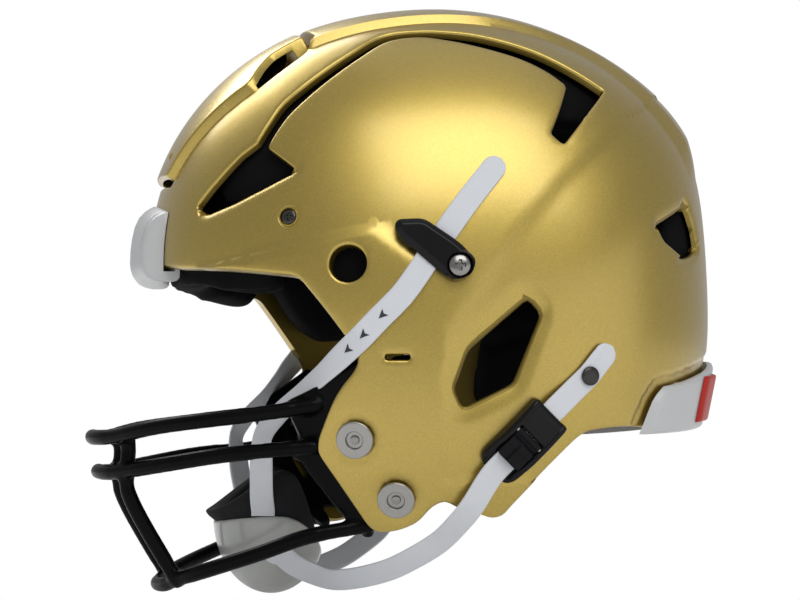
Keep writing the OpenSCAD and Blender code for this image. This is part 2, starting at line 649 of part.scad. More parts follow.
module clip_screws() {
  color(steel)
    both()
      seat(clip_at[0], clip_at[1], 0, 0)
        difference() {
          union() {
            translate([0, 0, clip_h - 2.2])
              cylinder(h = 1.4, d = clip_head_d, $fn = 48);
            translate([0, 0, clip_h - 0.9])
              cylinder(h = 1.5, d1 = clip_head_d, d2 = clip_head_d * 0.6, $fn = 48);
            translate([0, 0, -shell_wall - 5])
              cylinder(h = shell_wall + 5 + clip_h - 1, d = clip_shank_d, $fn = 48);
          }
          translate([0, 0, clip_h + 0.2])
            cube([5.6, 1.3, 2.6], center = true);
          translate([0, 0, clip_h + 0.2])
            cube([1.3, 5.6, 2.6], center = true);
        }
}
module inner_nut(d, bore, t) {
  difference() {
    union() {
      translate([0, 0, -shell_wall - 1.2 - t])
        cylinder(h = t, d = d, $fn = 48);
      translate([0, 0, -shell_wall - 1.2 - t - 2.2])
        cylinder(h = 2.4, d = d * 0.6, $fn = 48);
    }
    translate([0, 0, -30])
      cylinder(h = 40, d = bore, $fn = 48);
  }
}
module clip_nuts() {
  color(steel)
    both()
      seat(clip_at[0], clip_at[1], 0, 0)
        inner_nut(14, clip_shank_d + 0.02, 1.4);
}
module temple_screws() {
  color(black)
    both()
      seat(temple_at[0], temple_at[1], 0, 0)
        difference() {
          union() {
            translate([0, 0, -1.6])
              cylinder(h = 1.6, d1 = temple_head_d, d2 = temple_head_d * 0.85, $fn = 48);
            translate([0, 0, -shell_wall - 4])
              cylinder(h = shell_wall + 3, d = 4, $fn = 48);
          }
          translate([0, 0, 0])
            cube([4, 1, 1.6], center = true);
          translate([0, 0, 0])
            cube([1, 4, 1.6], center = true);
        }
}
module temple_nuts() {
  color(steel)
    both()
      seat(temple_at[0], temple_at[1], 0, 0)
        inner_nut(11, 4.02, 1.4);
}

// A point of the lining moved a distance d towards the head.
function inward(p, d) = p - d * unit([p[0] - ear_x, 0.8 * p[1], p[2] - ear_z]);
// Cushion on the inside over a range of side view angles. Rows of the list low lie deeper.
module top_pad(tt, yy, t, ch, low) {
  cc = [-1, -0.93, -0.8, -0.6, -0.4, -0.2, 0, 0.2, 0.4, 0.6, 0.8, 0.93, 1];
  n = len(tt) - 1;
  a = [for (i = [0 : n]) [for (c = cc) inward(pt(tt[i], c * yy[i] * wide, -shell_wall - pad_gap), low[i])]];
  b = [for (i = [0 : n]) [for (j = [0 : 12]) let (c = cc[j], u = 2 * i / n - 1, e = sqrt(1 - pow(abs(c), 6))
    * sqrt(1 - pow(abs(u), 6))) inward(a[i][j], 5 + (t - low[i] - 5) * e
    * (1 - 0.3 * exp(-pow((abs(c) - ch) * 14, 2))))]];
  sheet(a, b, true);
}
module front_pad() {
  color(black)
    top_pad([153.6, 155, 157.2, 159.4, 161.2, 162.1, 162.8, 165, 167, 168.5],
      [70, 78, 84, 87, 88, 88, 88, 87, 84, 80], front_pad_t, 0.4, [0, 0, 0, 0, 0, 0, 4.5, 4.5, 4.5, 4.5]);
}
module crown_pad() {
  color(black)
    top_pad([62, 64, 68, 74, 80, 87, 94, 101, 107, 111, 113], [22, 32, 38, 41, 42, 42, 42, 41, 38, 32, 22],
      crown_pad_t, 0.45, [for (i = [0 : 10]) 0]);
}
// Cushion beside the middle, between the widths ya and yb of the left side.
module wing_pad(tt, ya, yb, t) {
  cc = [0, 0.05, 0.2, 0.4, 0.6, 0.8, 0.95, 1];
  n = len(tt) - 1;
  a = [for (i = [0 : n]) [for (c = cc)
    pt(tt[i], (c * (yb[i] - ya[i]) - yb[i]) * wide, -shell_wall - pad_gap)]];
  b = [for (i = [0 : n]) [for (j = [0 : 7]) let (u = 2 * i / n - 1, v = 2 * cc[j] - 1)
    inward(a[i][j], 5 + (t - 5) * sqrt(1 - pow(abs(v), 6)) * sqrt(1 - pow(abs(u), 6)))]];
  sheet(a, b, true);
}
module crown_side_pad_l() {
  color(black)
    wing_pad([60, 63, 70, 80, 90, 100, 110, 120, 130, 138, 144, 149, 152.4],
      [56, 52, 48, 46, 46, 46, 46, 46, 47, 47, 47, 48, 54],
      [70, 76, 82, 85, 86, 86, 86, 86, 86, 85, 82, 79, 74], crown_pad_t * 0.9);
}
module crown_side_pad_r() {
  right()
    crown_side_pad_l();
}
module back_pad() {
  color(black)
    top_pad([8, 10, 14, 19, 24, 30, 36, 42, 48, 52], [46, 60, 72, 80, 84, 86, 84, 74, 58, 42],
      back_pad_t, 0.4, [for (i = [0 : 9]) 0]);
}
module neck_pad() {
  color(black)
    top_pad([-16.5, -15, -12, -8, -4, 0, 3, 5], [52, 62, 68, 70, 70, 68, 62, 52], back_pad_t * 0.85, 0.4,
      [for (i = [0 : 7]) 0]);
}
// Cushion on the left side inside an outline that is star shaped about its middle.
module side_pad(p, c, t) {
  n = len(p);
  s = [0.4, 0.7, 0.88, 1];
  h = [1, 0.95, 0.8, 0.3];
  o = -shell_wall - pad_gap;
  a = [for (k = s) [for (q = p) let (v = c + k * (q - c)) on(v[0], v[1], o)]];
  b = [for (i = [0 : 3]) [for (q = p) let (v = c + s[i] * (q - c)) on(v[0], v[1], o) + [0, t * h[i], 0]]];
  m = 4 * n;
  f = [for (i = [0 : 2], j = [0 : n - 1], k = [0, 1]) let (x = i * n + j, y = i * n + (j + 1) % n,
    z = y + n, w = x + n) k == 0 ? [x, y, z] : [x, z, w]];
  g = [for (q = f) [q[2] + m, q[1] + m, q[0] + m]];
  r = [for (j = [0 : n - 1], k = [0, 1]) let (x = 3 * n + j, y = 3 * n + (j + 1) % n)
    k == 0 ? [x, y, y + m] : [x, y + m, x + m]];
  ca = [for (j = [0 : n - 1]) [(j + 1) % n, j, 2 * m]];
  cb = [for (j = [0 : n - 1]) [j + m, (j + 1) % n + m, 2 * m + 1]];
  polyhedron(concat([for (q = a) for (v = q) v], [for (q = b) for (v = q) v],
    [on(c[0], c[1], o), on(c[0], c[1], o) + [0, t, 0]]), concat(f, g, r, ca, cb), convexity = 4);
}
// Closed smooth outline through corner points.
function loop(p, k) = let (n = len(p)) [for (i = [0 : n - 1], s = [0 : k - 1])
  cr(p[(i + n - 1) % n], p[i], p[(i + 1) % n], p[(i + 2) % n], s / k)];
side_out = loop([[-67.1, 173.6], [-60, 157.5], [-46, 139.3], [-28, 132.2], [-8, 140.2], [-6.1, 158.2],
  [-13.1, 173.3], [-30.2, 180.4], [-50.2, 180.5]], 3);
rear_side_out = loop([[59.9, 156.8], [57.9, 136.8], [53.9, 110.7], [60, 91], [78, 90.4], [90, 95.7],
  [96.9, 113.8], [98.9, 141.9], [94.9, 173.8], [83.8, 193.7], [63.8, 197.4], [51.8, 183]], 2);
jaw_out = loop([[-19.9, 94.3], [-8.8, 74.6], [-0.8, 58.8], [8.2, 55], [22.2, 51.1], [33.1, 64], [36, 80.7],
  [28, 91.5], [12, 89.4], [3, 96.3], [0, 117.2], [-16, 127.2], [-31.9, 119.2]], 2);
module side_pad_l() {
  color(black)
    side_pad(side_out, [-36.1, 158.2], side_pad_t);
}
module side_pad_r() {
  right()
    side_pad_l();
}
module rear_side_pad_l() {
  color(black)
    difference() {
      side_pad(rear_side_out, [79.9, 144.2], side_pad_t);
      seat(rivet_at[0], rivet_at[1], -12, 0)
        cylinder(h = 20, d = 12, $fn = 24);
    }
}
module rear_side_pad_r() {
  right()
    rear_side_pad_l();
}
module jaw_pad_l() {
  color(black)
    side_pad(jaw_out, [6.1, 77.5], jaw_pad_t);
}
module jaw_pad_r() {
  right()
    jaw_pad_l();
}

// Middle of the chin cup at its widest level.
cup_c = [-71.5, 0, 40];

// Straps. Each run lists points and the way its face looks.
so = 0.35 + strap_t / 2;
up_xz = [[29.7, 219], [24.2, 212.2], [13.3, 198.9], [3.3, 186.6], [-7.2, 174.5], [-15.6, 163.8],
  [-26.5, 152.3], [-36, 142.3], [-44.5, 133.9]];
up_on = smooth([for (i = [0 : len(up_xz) - 1]) on(up_xz[i][0], up_xz[i][1], so)], 3);
up_free = [[-54, -108.2, 122], [-59.9, -101, 114.4], [-67.4, -88.5, 105.6], [-72.9, -78, 97.7],
  [-77.3, -68, 85.3], [-79.8, -59, 72.9], [-82.2, -50, 60]];
up_free_n = [[-0.45, -0.85, -0.2], [-0.58, -0.78, -0.15], [-0.68, -0.7, -0.1], [-0.72, -0.68, 0],
  [-0.6, -0.8, 0.1], [-0.45, -0.88, 0.15], [-0.3, -0.95, 0.15], [-0.2, -0.97, 0.15], [-0.18, -0.98, 0],
  [-0.18, -0.98, 0]];
up_end = cup_pt(-107, cup_top(-107), -cup_wall / 2) + [0, 0, seat_gap + 0.1];
up_path = concat(up_on, smooth(concat(spread(up_free),
  [up_end + [-0.8, -1.8, 8], up_end + [0, 0, 2.6], up_end]), 3));
up_face = concat([for (p = up_on) side_n(p[0], p[2])], smooth(up_free_n, 3));
module upper_strap_l() {
  color(white)
    strap(up_path, up_face, strap_w, strap_t);
}
module upper_strap_r() {
  right()
    upper_strap_l();
}
buckle_at = [38, 79.4];
buckle_a = 46.2;
// Height of a strap's middle over the shell inside the buckle.
strap_lift = 3.55;
an_xz = [[84.4, 126.4], [77.9, 118.8], [71.9, 111.7], [65.9, 106.1]];
module anchor_strap_l() {
  p0 = [for (q = an_xz) on(q[0], q[1], so)];
  n0 = side_n(buckle_at[0], buckle_at[1]);
  d0 = unit(on(52, 94.1, 0) - on(24.1, 64.9, 0));
  c0 = on(buckle_at[0], buckle_at[1], 0);
  p = smooth(concat(p0, [c0 + 21.5 * d0 + strap_lift * n0, c0 + 12 * d0 + strap_lift * n0,
    c0 + 5 * d0 + strap_lift * n0]), 3);
  f = [for (q = p) side_n(q[0], q[2])];
  color(white)
    difference() {
      strap(p, f, strap_w, strap_t);
      seat(rivet_at[0], rivet_at[1], -4, 0)
        cylinder(h = 14, d = 4.4, $fn = 20);
    }
}
module anchor_strap_r() {
  right()
    anchor_strap_l();
}
module anchor_rivets() {
  color(black)
    both()
      seat(rivet_at[0], rivet_at[1], 0, 0) {
        translate([0, 0, strap_t + 0.8])
          cylinder(h = 1.2, d = rivet_d, $fn = 48);
        translate([0, 0, strap_t + 1.9])
          cylinder(h = 0.9, d1 = rivet_d, d2 = rivet_d * 0.7, $fn = 48);
        translate([0, 0, -shell_wall - 1])
          cylinder(h = shell_wall + strap_t + 2, d = 4, $fn = 48);
        translate([0, 0, -shell_wall - 1.9])
          cylinder(h = 1.2, d = 10, $fn = 48);
      }
}
lo_free = [[13.8, -114.5, 47.6], [8.8, -110, 40.4], [0.9, -99.5, 30.5], [-11, -91, 22], [-24, -81, 15.1],
  [-45.3, -61, 10.1], [-55.7, -49.5, 12.7], [-63.7, -42.5, 16.5]];
lo_free_n = [[0.05, -1, -0.1], [0.05, -0.98, -0.15], [0.05, -0.97, -0.2], [0.05, -0.96, -0.25],
  [0, -0.94, -0.3], [-0.02, -0.92, -0.35], [0, -0.93, -0.35], [0, -0.92, -0.38]];
lo_end = [for (u = [-91, -106]) cup_pt(u, 64, 0.5 + strap_t / 2)];
lo_end_n = [for (u = [-91, -106]) cup_n(u, 64)];
module lower_strap_l() {
  n0 = side_n(buckle_at[0], buckle_at[1]);
  d0 = unit(on(52, 94.1, 0) - on(24.1, 64.9, 0));
  c0 = on(buckle_at[0], buckle_at[1], 0);
  p = smooth(concat([c0 + 3 * d0 + strap_lift * n0, c0 - 8 * d0 + strap_lift * n0,
    c0 - 21.5 * d0 + strap_lift * n0], spread(lo_free), lo_end), 3);
  f = smooth(concat([n0, n0, n0], lo_free_n, lo_end_n), 3);
  color(white)
    strap(p, f, strap_w, strap_t);
}
module lower_strap_r() {
  right()
    lower_strap_l();
}

// Buckle: a tray with two cheeks, a lever on a pin across them, local X up the strap.
module buckle_seat() {
  seat(buckle_at[0], buckle_at[1], 0, buckle_a)
    children();
}
rail = 3.4;
pin_x = 3;
pin_z = 6.5;
module buckle_body() {
  w = buckle_w;
  l = buckle_l;
  difference() {
    union() {
      translate([-l / 2, -w / 2, 0.6])
        cube([l, w, 1.9]);
      for (s = [-1, 1])
        translate([0, s * (w / 2 - rail / 2), 0]) {
          rotate([90, 0, 0])
            linear_extrude(rail, center = true)
              polygon([[-l / 2, 0.6], [l / 2, 0.6], [l / 2, buckle_h - 2.6], [l / 2 - 3, buckle_h - 1],
                [8, buckle_h], [-4, buckle_h], [-l / 2 + 1, 3.4]]);
        }
      translate([l / 2 - 9, -w / 2, 5.3])
        cube([9, w, buckle_h - 7]);
    }
    translate([-l / 2 - 1, -w / 2 - 5, -1])
      rotate([0, 0, -26])
        cube([7, 5, 12]);
    translate([-l / 2 - 1, w / 2 + 5, -1])
      rotate([0, 0, 26])
        translate([0, -5, 0])
          cube([7, 5, 12]);
    translate([pin_x, 0, pin_z])
      rotate([90, 0, 0])
        cylinder(h = 60, d = pin_d + 0.02, center = true, $fn = 48);
  }
}
module buckle_l() {
  color(black)
    buckle_seat()
      buckle_body();
}
module buckle_r() {
  right()
    buckle_l();
}
// The lever lies flat when shut: its knuckle holds the strap down.
module lever_body() {
  w = buckle_w - 2 * rail - 0.8;
  difference() {
    union() {
      translate([pin_x, 0, pin_z])
        rotate([90, 0, 0])
          cylinder(h = w, d = pin_d + 1.5, center = true, $fn = 48);
      translate([-12, -w / 2, 6.1])
        cube([16, w, 2.1]);
      translate([-4.5, -w / 2, 6.1])
        cube([3.5, w, 2.9]);
    }
    translate([pin_x, 0, pin_z])
      rotate([90, 0, 0])
        cylinder(h = 60, d = pin_d + 2 * pin_clear, center = true, $fn = 48);
  }
}
module buckle_lever_l() {
  color(black)
    buckle_seat()
      lever_body();
}
module buckle_lever_r() {
  right()
    buckle_lever_l();
}
module buckle_pins() {
  color(steel)
    both()
      buckle_seat()
        translate([pin_x, 0, pin_z])
          rotate([90, 0, 0])
            cylinder(h = buckle_w - 0.6, d = pin_d, center = true, $fn = 48);
}

// Chin cup: bowl open upwards and to the back.
// Above its widest level the cup's side runs straight up.
function cup_pt(u, v, o) = let (w = min(v, 90), a = (cup_rx + o) * sin(w), b = (cup_half_w + o) * sin(w),
  c = (cup_rz + o) * cos(w)) cup_c + [a * cos(u), b * sin(u), -c + max(0, v - 90) * 0.7];
function cup_n(u, v) = unit([cos(u) * sin(v) / cup_rx, sin(u) * sin(v) / cup_half_w, -cos(v) / cup_rz]);
function cup_top(u) = 88 + 4 * pow(abs(sin(u)), 2) - 28 * pow(max(0, cos(u)), 2);
function cup_add(u) = 5 + 22 * pow(abs(sin(u)), 2) + 6 * pow(max(0, -cos(u)), 2);
function cup_v(i, u, add) = min(i, 5) / 5 * cup_top(u) + max(0, i - 5) / 2 * add * cup_add(u);
module cup(o1, o2, add) {
  n = 24;
  k = add > 0 ? 7 : 5;
  us = [for (i = [0 : n - 1]) i * 360 / n];
  a = [for (i = [1 : k]) [for (u = us) cup_pt(u, cup_v(i, u, add), o1)]];
  b = [for (i = [1 : k]) [for (u = us) cup_pt(u, cup_v(i, u, add), o2)]];
  m = k * n;
  f = [for (i = [0 : k - 2], j = [0 : n - 1], q = [0, 1]) let (x = i * n + j, y = i * n + (j + 1) % n,
    z = y + n, w = x + n) q == 0 ? [z, y, x] : [w, z, x]];
  g = [for (q = f) [q[2] + m, q[1] + m, q[0] + m]];
  r = [for (j = [0 : n - 1], q = [0, 1]) let (x = (k - 1) * n + j, y = (k - 1) * n + (j + 1) % n)
    q == 0 ? [y + m, y, x] : [x + m, y + m, x]];
  ca = [for (j = [0 : n - 1]) [j, (j + 1) % n, 2 * m]];
  cb = [for (j = [0 : n - 1]) [(j + 1) % n + m, j + m, 2 * m + 1]];
  polyhedron(concat([for (q = a) for (v = q) v], [for (q = b) for (v = q) v],
    [cup_c - [0, 0, cup_rz + o1], cup_c - [0, 0, cup_rz + o2]]), concat(f, g, r, ca, cb), convexity = 6);
}
module chin_cup_shell() {
  color(grey)
    cup(0, -cup_wall, 0);
}
module chin_cup_pad() {
  color(black)
    cup(-cup_wall - seat_gap, -cup_wall - seat_gap - cup_pad_t, 1);
}

shell();
front_flex_panel();
panel_pad();
panel_hinge_rod();
panel_hinge_brackets();
front_bumper();
rear_bumper();
rear_bumper_plate();
rear_bumper_screws();
face_guard();
release_heads();
release_nuts();
plunger_upper_l();
plunger_lower_l();
plunger_upper_r();
plunger_lower_r();
strap_clip_l();
strap_clip_r();
clip_screws();
clip_nuts();
temple_screws();
temple_nuts();
front_pad();
crown_pad();
crown_side_pad_l();
crown_side_pad_r();
side_pad_l();
side_pad_r();
rear_side_pad_l();
rear_side_pad_r();
back_pad();
neck_pad();
jaw_pad_l();
jaw_pad_r();
upper_strap_l();
upper_strap_r();
anchor_strap_l();
anchor_strap_r();
lower_strap_l();
lower_strap_r();
anchor_rivets();
buckle_l();
buckle_r();
buckle_lever_l();
buckle_lever_r();
buckle_pins();
chin_cup_shell();
chin_cup_pad();
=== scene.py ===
"""Football helmet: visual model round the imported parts.

Run as a script in Blender 4.5. Every length in the code is in millimetres unless a name ends
in _m, and make_piece turns it into metres. The helmet's own frame is used throughout: +X to the
back of the head, -Y the wearer's left, +Z up.
"""
import math

import bmesh
import bpy
import numpy as np
from bpy.props import FloatProperty, FloatVectorProperty, PointerProperty
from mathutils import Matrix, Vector
from mathutils.geometry import delaunay_2d_cdt


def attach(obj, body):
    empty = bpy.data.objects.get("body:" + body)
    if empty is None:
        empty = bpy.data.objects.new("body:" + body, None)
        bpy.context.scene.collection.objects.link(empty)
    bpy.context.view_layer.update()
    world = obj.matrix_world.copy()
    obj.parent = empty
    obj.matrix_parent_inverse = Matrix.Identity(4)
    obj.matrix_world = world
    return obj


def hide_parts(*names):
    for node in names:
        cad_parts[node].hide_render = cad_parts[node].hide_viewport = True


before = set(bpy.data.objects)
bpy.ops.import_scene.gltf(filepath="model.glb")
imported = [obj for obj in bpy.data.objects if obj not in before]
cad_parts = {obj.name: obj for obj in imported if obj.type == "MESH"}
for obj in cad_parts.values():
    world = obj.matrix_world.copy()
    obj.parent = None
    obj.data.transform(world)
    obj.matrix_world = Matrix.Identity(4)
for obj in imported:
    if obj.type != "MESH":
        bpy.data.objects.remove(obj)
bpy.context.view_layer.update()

bl_info = {
    "name": "Football helmet",
    "version": (1, 0, 0),
    "blender": (4, 5, 0),
    "location": "View3D > Sidebar > Helmet",
    "description": "Builds a football helmet's shell, guard, straps and padding round its frame",
    "category": "Object",
}

MM = 0.001
HELMET = "helmet"
LEFT, RIGHT = 1, -1
SIDES = ((LEFT, "l"), (RIGHT, "r"))

# Side view: the ear axis, and a profile radius every 15 degrees from straight back and up.
EAR_X, EAR_Z = 32.0, 126.5
RADII = np.array([126.9, 132.1, 144.4, 161.2, 168.3, 172.8, 177.5, 181.9, 187.2, 188.4, 183.7, 173.1,
                  162.1, 157, 156.9, 158.7, 160.4, 159.9, 157.4, 152.1, 145.1, 137.5, 130.5, 124.9])
# Powers of the plan curve, and the gap at which parts sit on the shell.
SIDE, PLAN = 2.2, 2.3
SEAT = 0.3


# ---------------------------------------------------------------- settings

def length(name, text, default_mm, low, high):
    return FloatProperty(name=name, description=text, default=default_mm * MM, min=low * MM,
                         max=high * MM, unit="LENGTH", precision=4)


def colour(name, text, rgb):
    return FloatVectorProperty(name=name, description=text, default=rgb, min=0, max=1, size=3,
                               subtype="COLOR")


class HelmetSizes(bpy.types.PropertyGroup):
    half_width: length("Half width", "Half width of the shell at the ears", 120, 105, 130)
    wall: length("Wall", "Thickness of the shell", 4, 2.5, 6)
    edge_round: length("Edge round", "Radius that eases the shell's cut edges", 1.3, 0.4, 2)
    spine_height: length("Spine height", "Rise of the centre spine over the dome", 3.5, 1, 5)
    panel_rise: length("Panel rise", "Height of the flex panel over the shell", 3.8, 2, 6)
    bar: length("Bar diameter", "Diameter of the guard's bars with their coating", 7.5, 5, 9)
    strap_width: length("Strap width", "Width of the webbing", 12, 9, 19)
    strap_thickness: length("Strap thickness", "Thickness of the webbing", 1.6, 1, 3)
    release_head: length("Release head", "Diameter of a release fastener's head", 18.5, 14, 24)
    weave: length("Weave", "Pitch of the webbing's weave", 0.9, 0.4, 3)


class HelmetColours(bpy.types.PropertyGroup):
    gold: colour("Gold", "Metallic paint of the shell and the panel", (0.50, 0.362, 0.072))
    guard: colour("Guard", "Coating of the face guard", (0.003, 0.003, 0.0035))
    plastic: colour("Plastic", "Clips and buckles", (0.007, 0.007, 0.008))
    webbing: colour("Webbing", "Chin straps", (0.66, 0.68, 0.72))
    bumper: colour("Bumper", "Brow and neck bumpers", (0.50, 0.51, 0.52))
    plate: colour("Plate", "Raised plate on the neck bumper", (0.44, 0.022, 0.014))
    steel: colour("Steel", "Fasteners", (0.54, 0.53, 0.51))
    cup: colour("Cup", "Hard outer cup at the chin", (0.42, 0.43, 0.41))
    padding: colour("Padding", "Cushions and foam", (0.0045, 0.0045, 0.005))


# ---------------------------------------------------------------- curves

def unit(v):
    return v / np.maximum(np.linalg.norm(v, axis=-1, keepdims=True), 1e-12)


def around(n):
    """Angles of n equal steps round a circle."""
    return np.linspace(0, 2 * np.pi, n, endpoint=False)


def polar(angle):
    return np.stack([np.cos(angle), np.sin(angle)], -1)


def flow(points, k):
    """Centripetal Catmull-Rom run through the points, k steps between neighbours."""
    p = np.asarray(points, float)
    p = np.vstack([2 * p[0] - p[1], p, 2 * p[-1] - p[-2]])
    gap = np.maximum(np.linalg.norm(np.diff(p, axis=0), axis=1), 1e-9) ** 0.5
    out = []
    for i in range(1, len(p) - 2):
        t0, t1 = 0.0, gap[i - 1]
        t2 = t1 + gap[i]
        t3 = t2 + gap[i + 1]
        t = np.linspace(t1, t2, k, endpoint=False)[:, None]
        a1 = (t1 - t) / (t1 - t0) * p[i - 1] + (t - t0) / (t1 - t0) * p[i]
        a2 = (t2 - t) / (t2 - t1) * p[i] + (t - t1) / (t2 - t1) * p[i + 1]
        a3 = (t3 - t) / (t3 - t2) * p[i + 1] + (t - t2) / (t3 - t2) * p[i + 2]
        b1 = (t2 - t) / (t2 - t0) * a1 + (t - t0) / (t2 - t0) * a2
        b2 = (t3 - t) / (t3 - t1) * a2 + (t - t1) / (t3 - t1) * a3
        out.append((t2 - t) / (t2 - t1) * b1 + (t - t1) / (t2 - t1) * b2)
    return np.vstack(out + [p[-2:-1]])


def eased(points, radius, closed=True):
    """Polygon whose corners are replaced by quadratic arcs that start a radius from the corner."""
    p = np.asarray(points, float)
    n = len(p)
    r = np.broadcast_to(np.asarray(radius, float), (n,))
    out = []
    for i in range(n):
        if not closed and i in (0, n - 1):
            out.append(p[i])
            continue
        a, b, c = p[i - 1], p[i], p[(i + 1) % n]
        la, lc = np.linalg.norm(a - b), np.linalg.norm(c - b)
        da, dc = min(r[i], 0.45 * la), min(r[i], 0.45 * lc)
        s, e = b + (a - b) * da / la, b + (c - b) * dc / lc
        t = np.linspace(0, 1, 6)[:, None]
        out.extend((1 - t) ** 2 * s + 2 * t * (1 - t) * b + t ** 2 * e)
    return np.array(out)


def spaced(points, step, closed=True):
    """The same line with points at equal steps; corners stay within half a step."""
    p = np.asarray(points, float)
    if closed:
        p = np.vstack([p, p[:1]])
    d = np.linalg.norm(np.diff(p, axis=0), axis=1)
    keep = np.concatenate([[True], d > 1e-9])
    p, s = p[keep], np.concatenate([[0], np.cumsum(d[d > 1e-9])])
    n = max(3, int(round(s[-1] / step)))
    t = np.linspace(0, s[-1], n + 1)
    q = np.stack([np.interp(t, s, p[:, i]) for i in range(p.shape[1])], 1)
    return q[:-1] if closed else q


def smooth_step(a, b, v):
    q = np.clip((v - a) / (b - a), 0, 1)
    return q * q * (3 - 2 * q)


def arc_round(d, r):
    """How far a surface has dropped at a distance d from its edge, for a rounding of radius r."""
    e = np.clip(r - d, 0, r)
    return r - np.sqrt(np.maximum(r * r - e * e, 0))


# ---------------------------------------------------------------- the shell's form

class ShellForm:
    """The surface that everything on the helmet follows.

    A point is given by a side view angle t and a width y. The profile radius at t, a periodic
    cubic spline through the listed radii, is shrunk by the plan curve
    (1 - |y / half width| ** 2.2) ** (1 / 2.3) and laid off from the ear axis.
    """

    def __init__(self, sizes):
        self.h = sizes.half_width / MM
        self.wall = sizes.wall / MM
        self.spine_height = sizes.spine_height / MM
        n = len(RADII)
        eye = np.eye(n)
        lap = 4 * eye + np.roll(eye, 1, 1) + np.roll(eye, -1, 1)
        self.bend = np.linalg.solve(lap, 6 * (np.roll(RADII, -1) - 2 * RADII + np.roll(RADII, 1)))

    @staticmethod
    def ear_polar(p):
        """Side view angle and distance of points from the ear axis."""
        dx, dz = p[..., 0] - EAR_X, p[..., -1] - EAR_Z
        return np.arctan2(dz, dx), np.hypot(dx, dz)

    def radius(self, t):
        u = np.mod(t, 360) / 15
        i = np.floor(u).astype(int) % 24
        f = u - np.floor(u)
        g, j = 1 - f, (i + 1) % 24
        return (RADII[i] * g + RADII[j] * f + (g ** 3 - g) * self.bend[i] / 6
                + (f ** 3 - f) * self.bend[j] / 6)

    def pt(self, t, y, o=0.0):
        t, y, o = np.broadcast_arrays(np.asarray(t, float), np.asarray(y, float), o)
        h = self.h + o
        k = np.maximum(1 - np.minimum(np.abs(y) / h, 1) ** SIDE, 0) ** (1 / PLAN)
        r, a = k * (self.radius(t) + o), np.radians(t)
        return np.stack([EAR_X + r * np.cos(a), y, EAR_Z + r * np.sin(a)], -1)

    def side_y(self, x, z, o=0.0):
        dx, dz = x - EAR_X, z - EAR_Z
        q = np.hypot(dx, dz) / (self.radius(np.degrees(np.arctan2(dz, dx))) + o)
        return -(self.h + o) * np.maximum(1 - q ** PLAN, 0) ** (1 / SIDE)

    def on(self, xz, o=0.0):
        """Points of the left half over side view points."""
        x, z = np.moveaxis(np.asarray(xz, float), -1, 0)
        return np.stack([x, self.side_y(x, z, o), z], -1)

    def side_normal(self, xz):
        x, z = np.moveaxis(np.asarray(xz, float), -1, 0)
        return unit(np.stack([(self.side_y(x + 1, z) - self.side_y(x - 1, z)) / 2,
                              -np.ones_like(x),
                              (self.side_y(x, z + 1) - self.side_y(x, z - 1)) / 2], -1))

    def disc(self, uv, o=0.0):
        """Left half as a flat disc: the angle round the ear is t, and the distance from the middle
        is 0 to 90 degrees from the ear to the centre line."""
        r = np.clip(np.hypot(uv[..., 0], uv[..., 1]), 0, 90)
        t = np.degrees(np.arctan2(uv[..., 1], uv[..., 0]))
        a = np.radians(r)
        y = -(self.h + o) * np.maximum(np.cos(a), 0) ** (2 / SIDE)
        k = np.sin(a) ** (2 / PLAN) * (self.radius(t) + o)
        y = np.where(r > 89.9999, 0, y)
        return np.stack([EAR_X + k * np.cos(np.radians(t)), y, EAR_Z + k * np.sin(np.radians(t))], -1)

    def to_disc(self, xz):
        """Disc place of side view points."""
        t, far = self.ear_polar(np.asarray(xz, float))
        q = np.clip(far / self.radius(np.degrees(t)), 0, 1)
        r = np.degrees(np.arcsin(q ** (PLAN / 2)))
        return r[..., None] * polar(t)

    def disc_ty(self, t, y):
        """Disc place of a side view angle and a width."""
        r = 90 - np.degrees(np.arcsin((np.abs(y) / self.h) ** (SIDE / 2)))
        return np.asarray(r)[..., None] * polar(np.radians(t))

    def level(self, y, z, o, low, high):
        """Side view angle, between low and high, at which the surface at width y has height z."""
        y, z, o = np.broadcast_arrays(np.asarray(y, float), np.asarray(z, float), o)
        lo, hi = np.full(y.shape, float(low)), np.full(y.shape, float(high))
        rising = self.pt(high, 0)[2] > self.pt(low, 0)[2]
        for _ in range(40):
            m = (lo + hi) / 2
            above = self.pt(m, y, o)[..., 2] > z
            hi, lo = np.where(above == rising, m, hi), np.where(above == rising, lo, m)
        return (lo + hi) / 2

    def depth(self, p):
        """Height of points over the surface, found by halving between 75 mm below it and 5 above."""
        t, far = self.ear_polar(p)
        r = self.radius(np.degrees(t))
        low, high = np.full(len(p), -75.0), np.full(len(p), 5.0)
        for _ in range(24):
            o = (low + high) / 2
            out = (np.abs(p[:, 1]) / (self.h + o)) ** SIDE + (far / (r + o)) ** PLAN > 1
            low, high = np.where(out, o, low), np.where(out, high, o)
        return o

    def seat(self, xz, turn=0.0):
        """Origin and the three axes of a place on the left side, the last one outward."""
        n = self.side_normal(xz)
        az, tip = math.atan2(n[1], n[0]), math.acos(n[2])
        a, c, s = math.radians(90 + turn), math.cos, math.sin
        rz = lambda q: np.array([[c(q), -s(q), 0], [s(q), c(q), 0], [0, 0, 1]])
        ry = np.array([[c(tip), 0, s(tip)], [0, 1, 0], [-s(tip), 0, c(tip)]])
        return self.on(xz), (rz(az) @ ry @ rz(a)).T

    def spine_width(self, t):
        """Half width of the spine, which grows from 44 mm at the front to 60 at the back."""
        return 44 + 16 * (1 - smooth_step(48, 74, t))

    def spine_bevel(self, t):
        """Width of the slope beside the spine, steep at the front and flat at the back."""
        return 3.2 + 7.5 * (1 - smooth_step(58, 96, t))

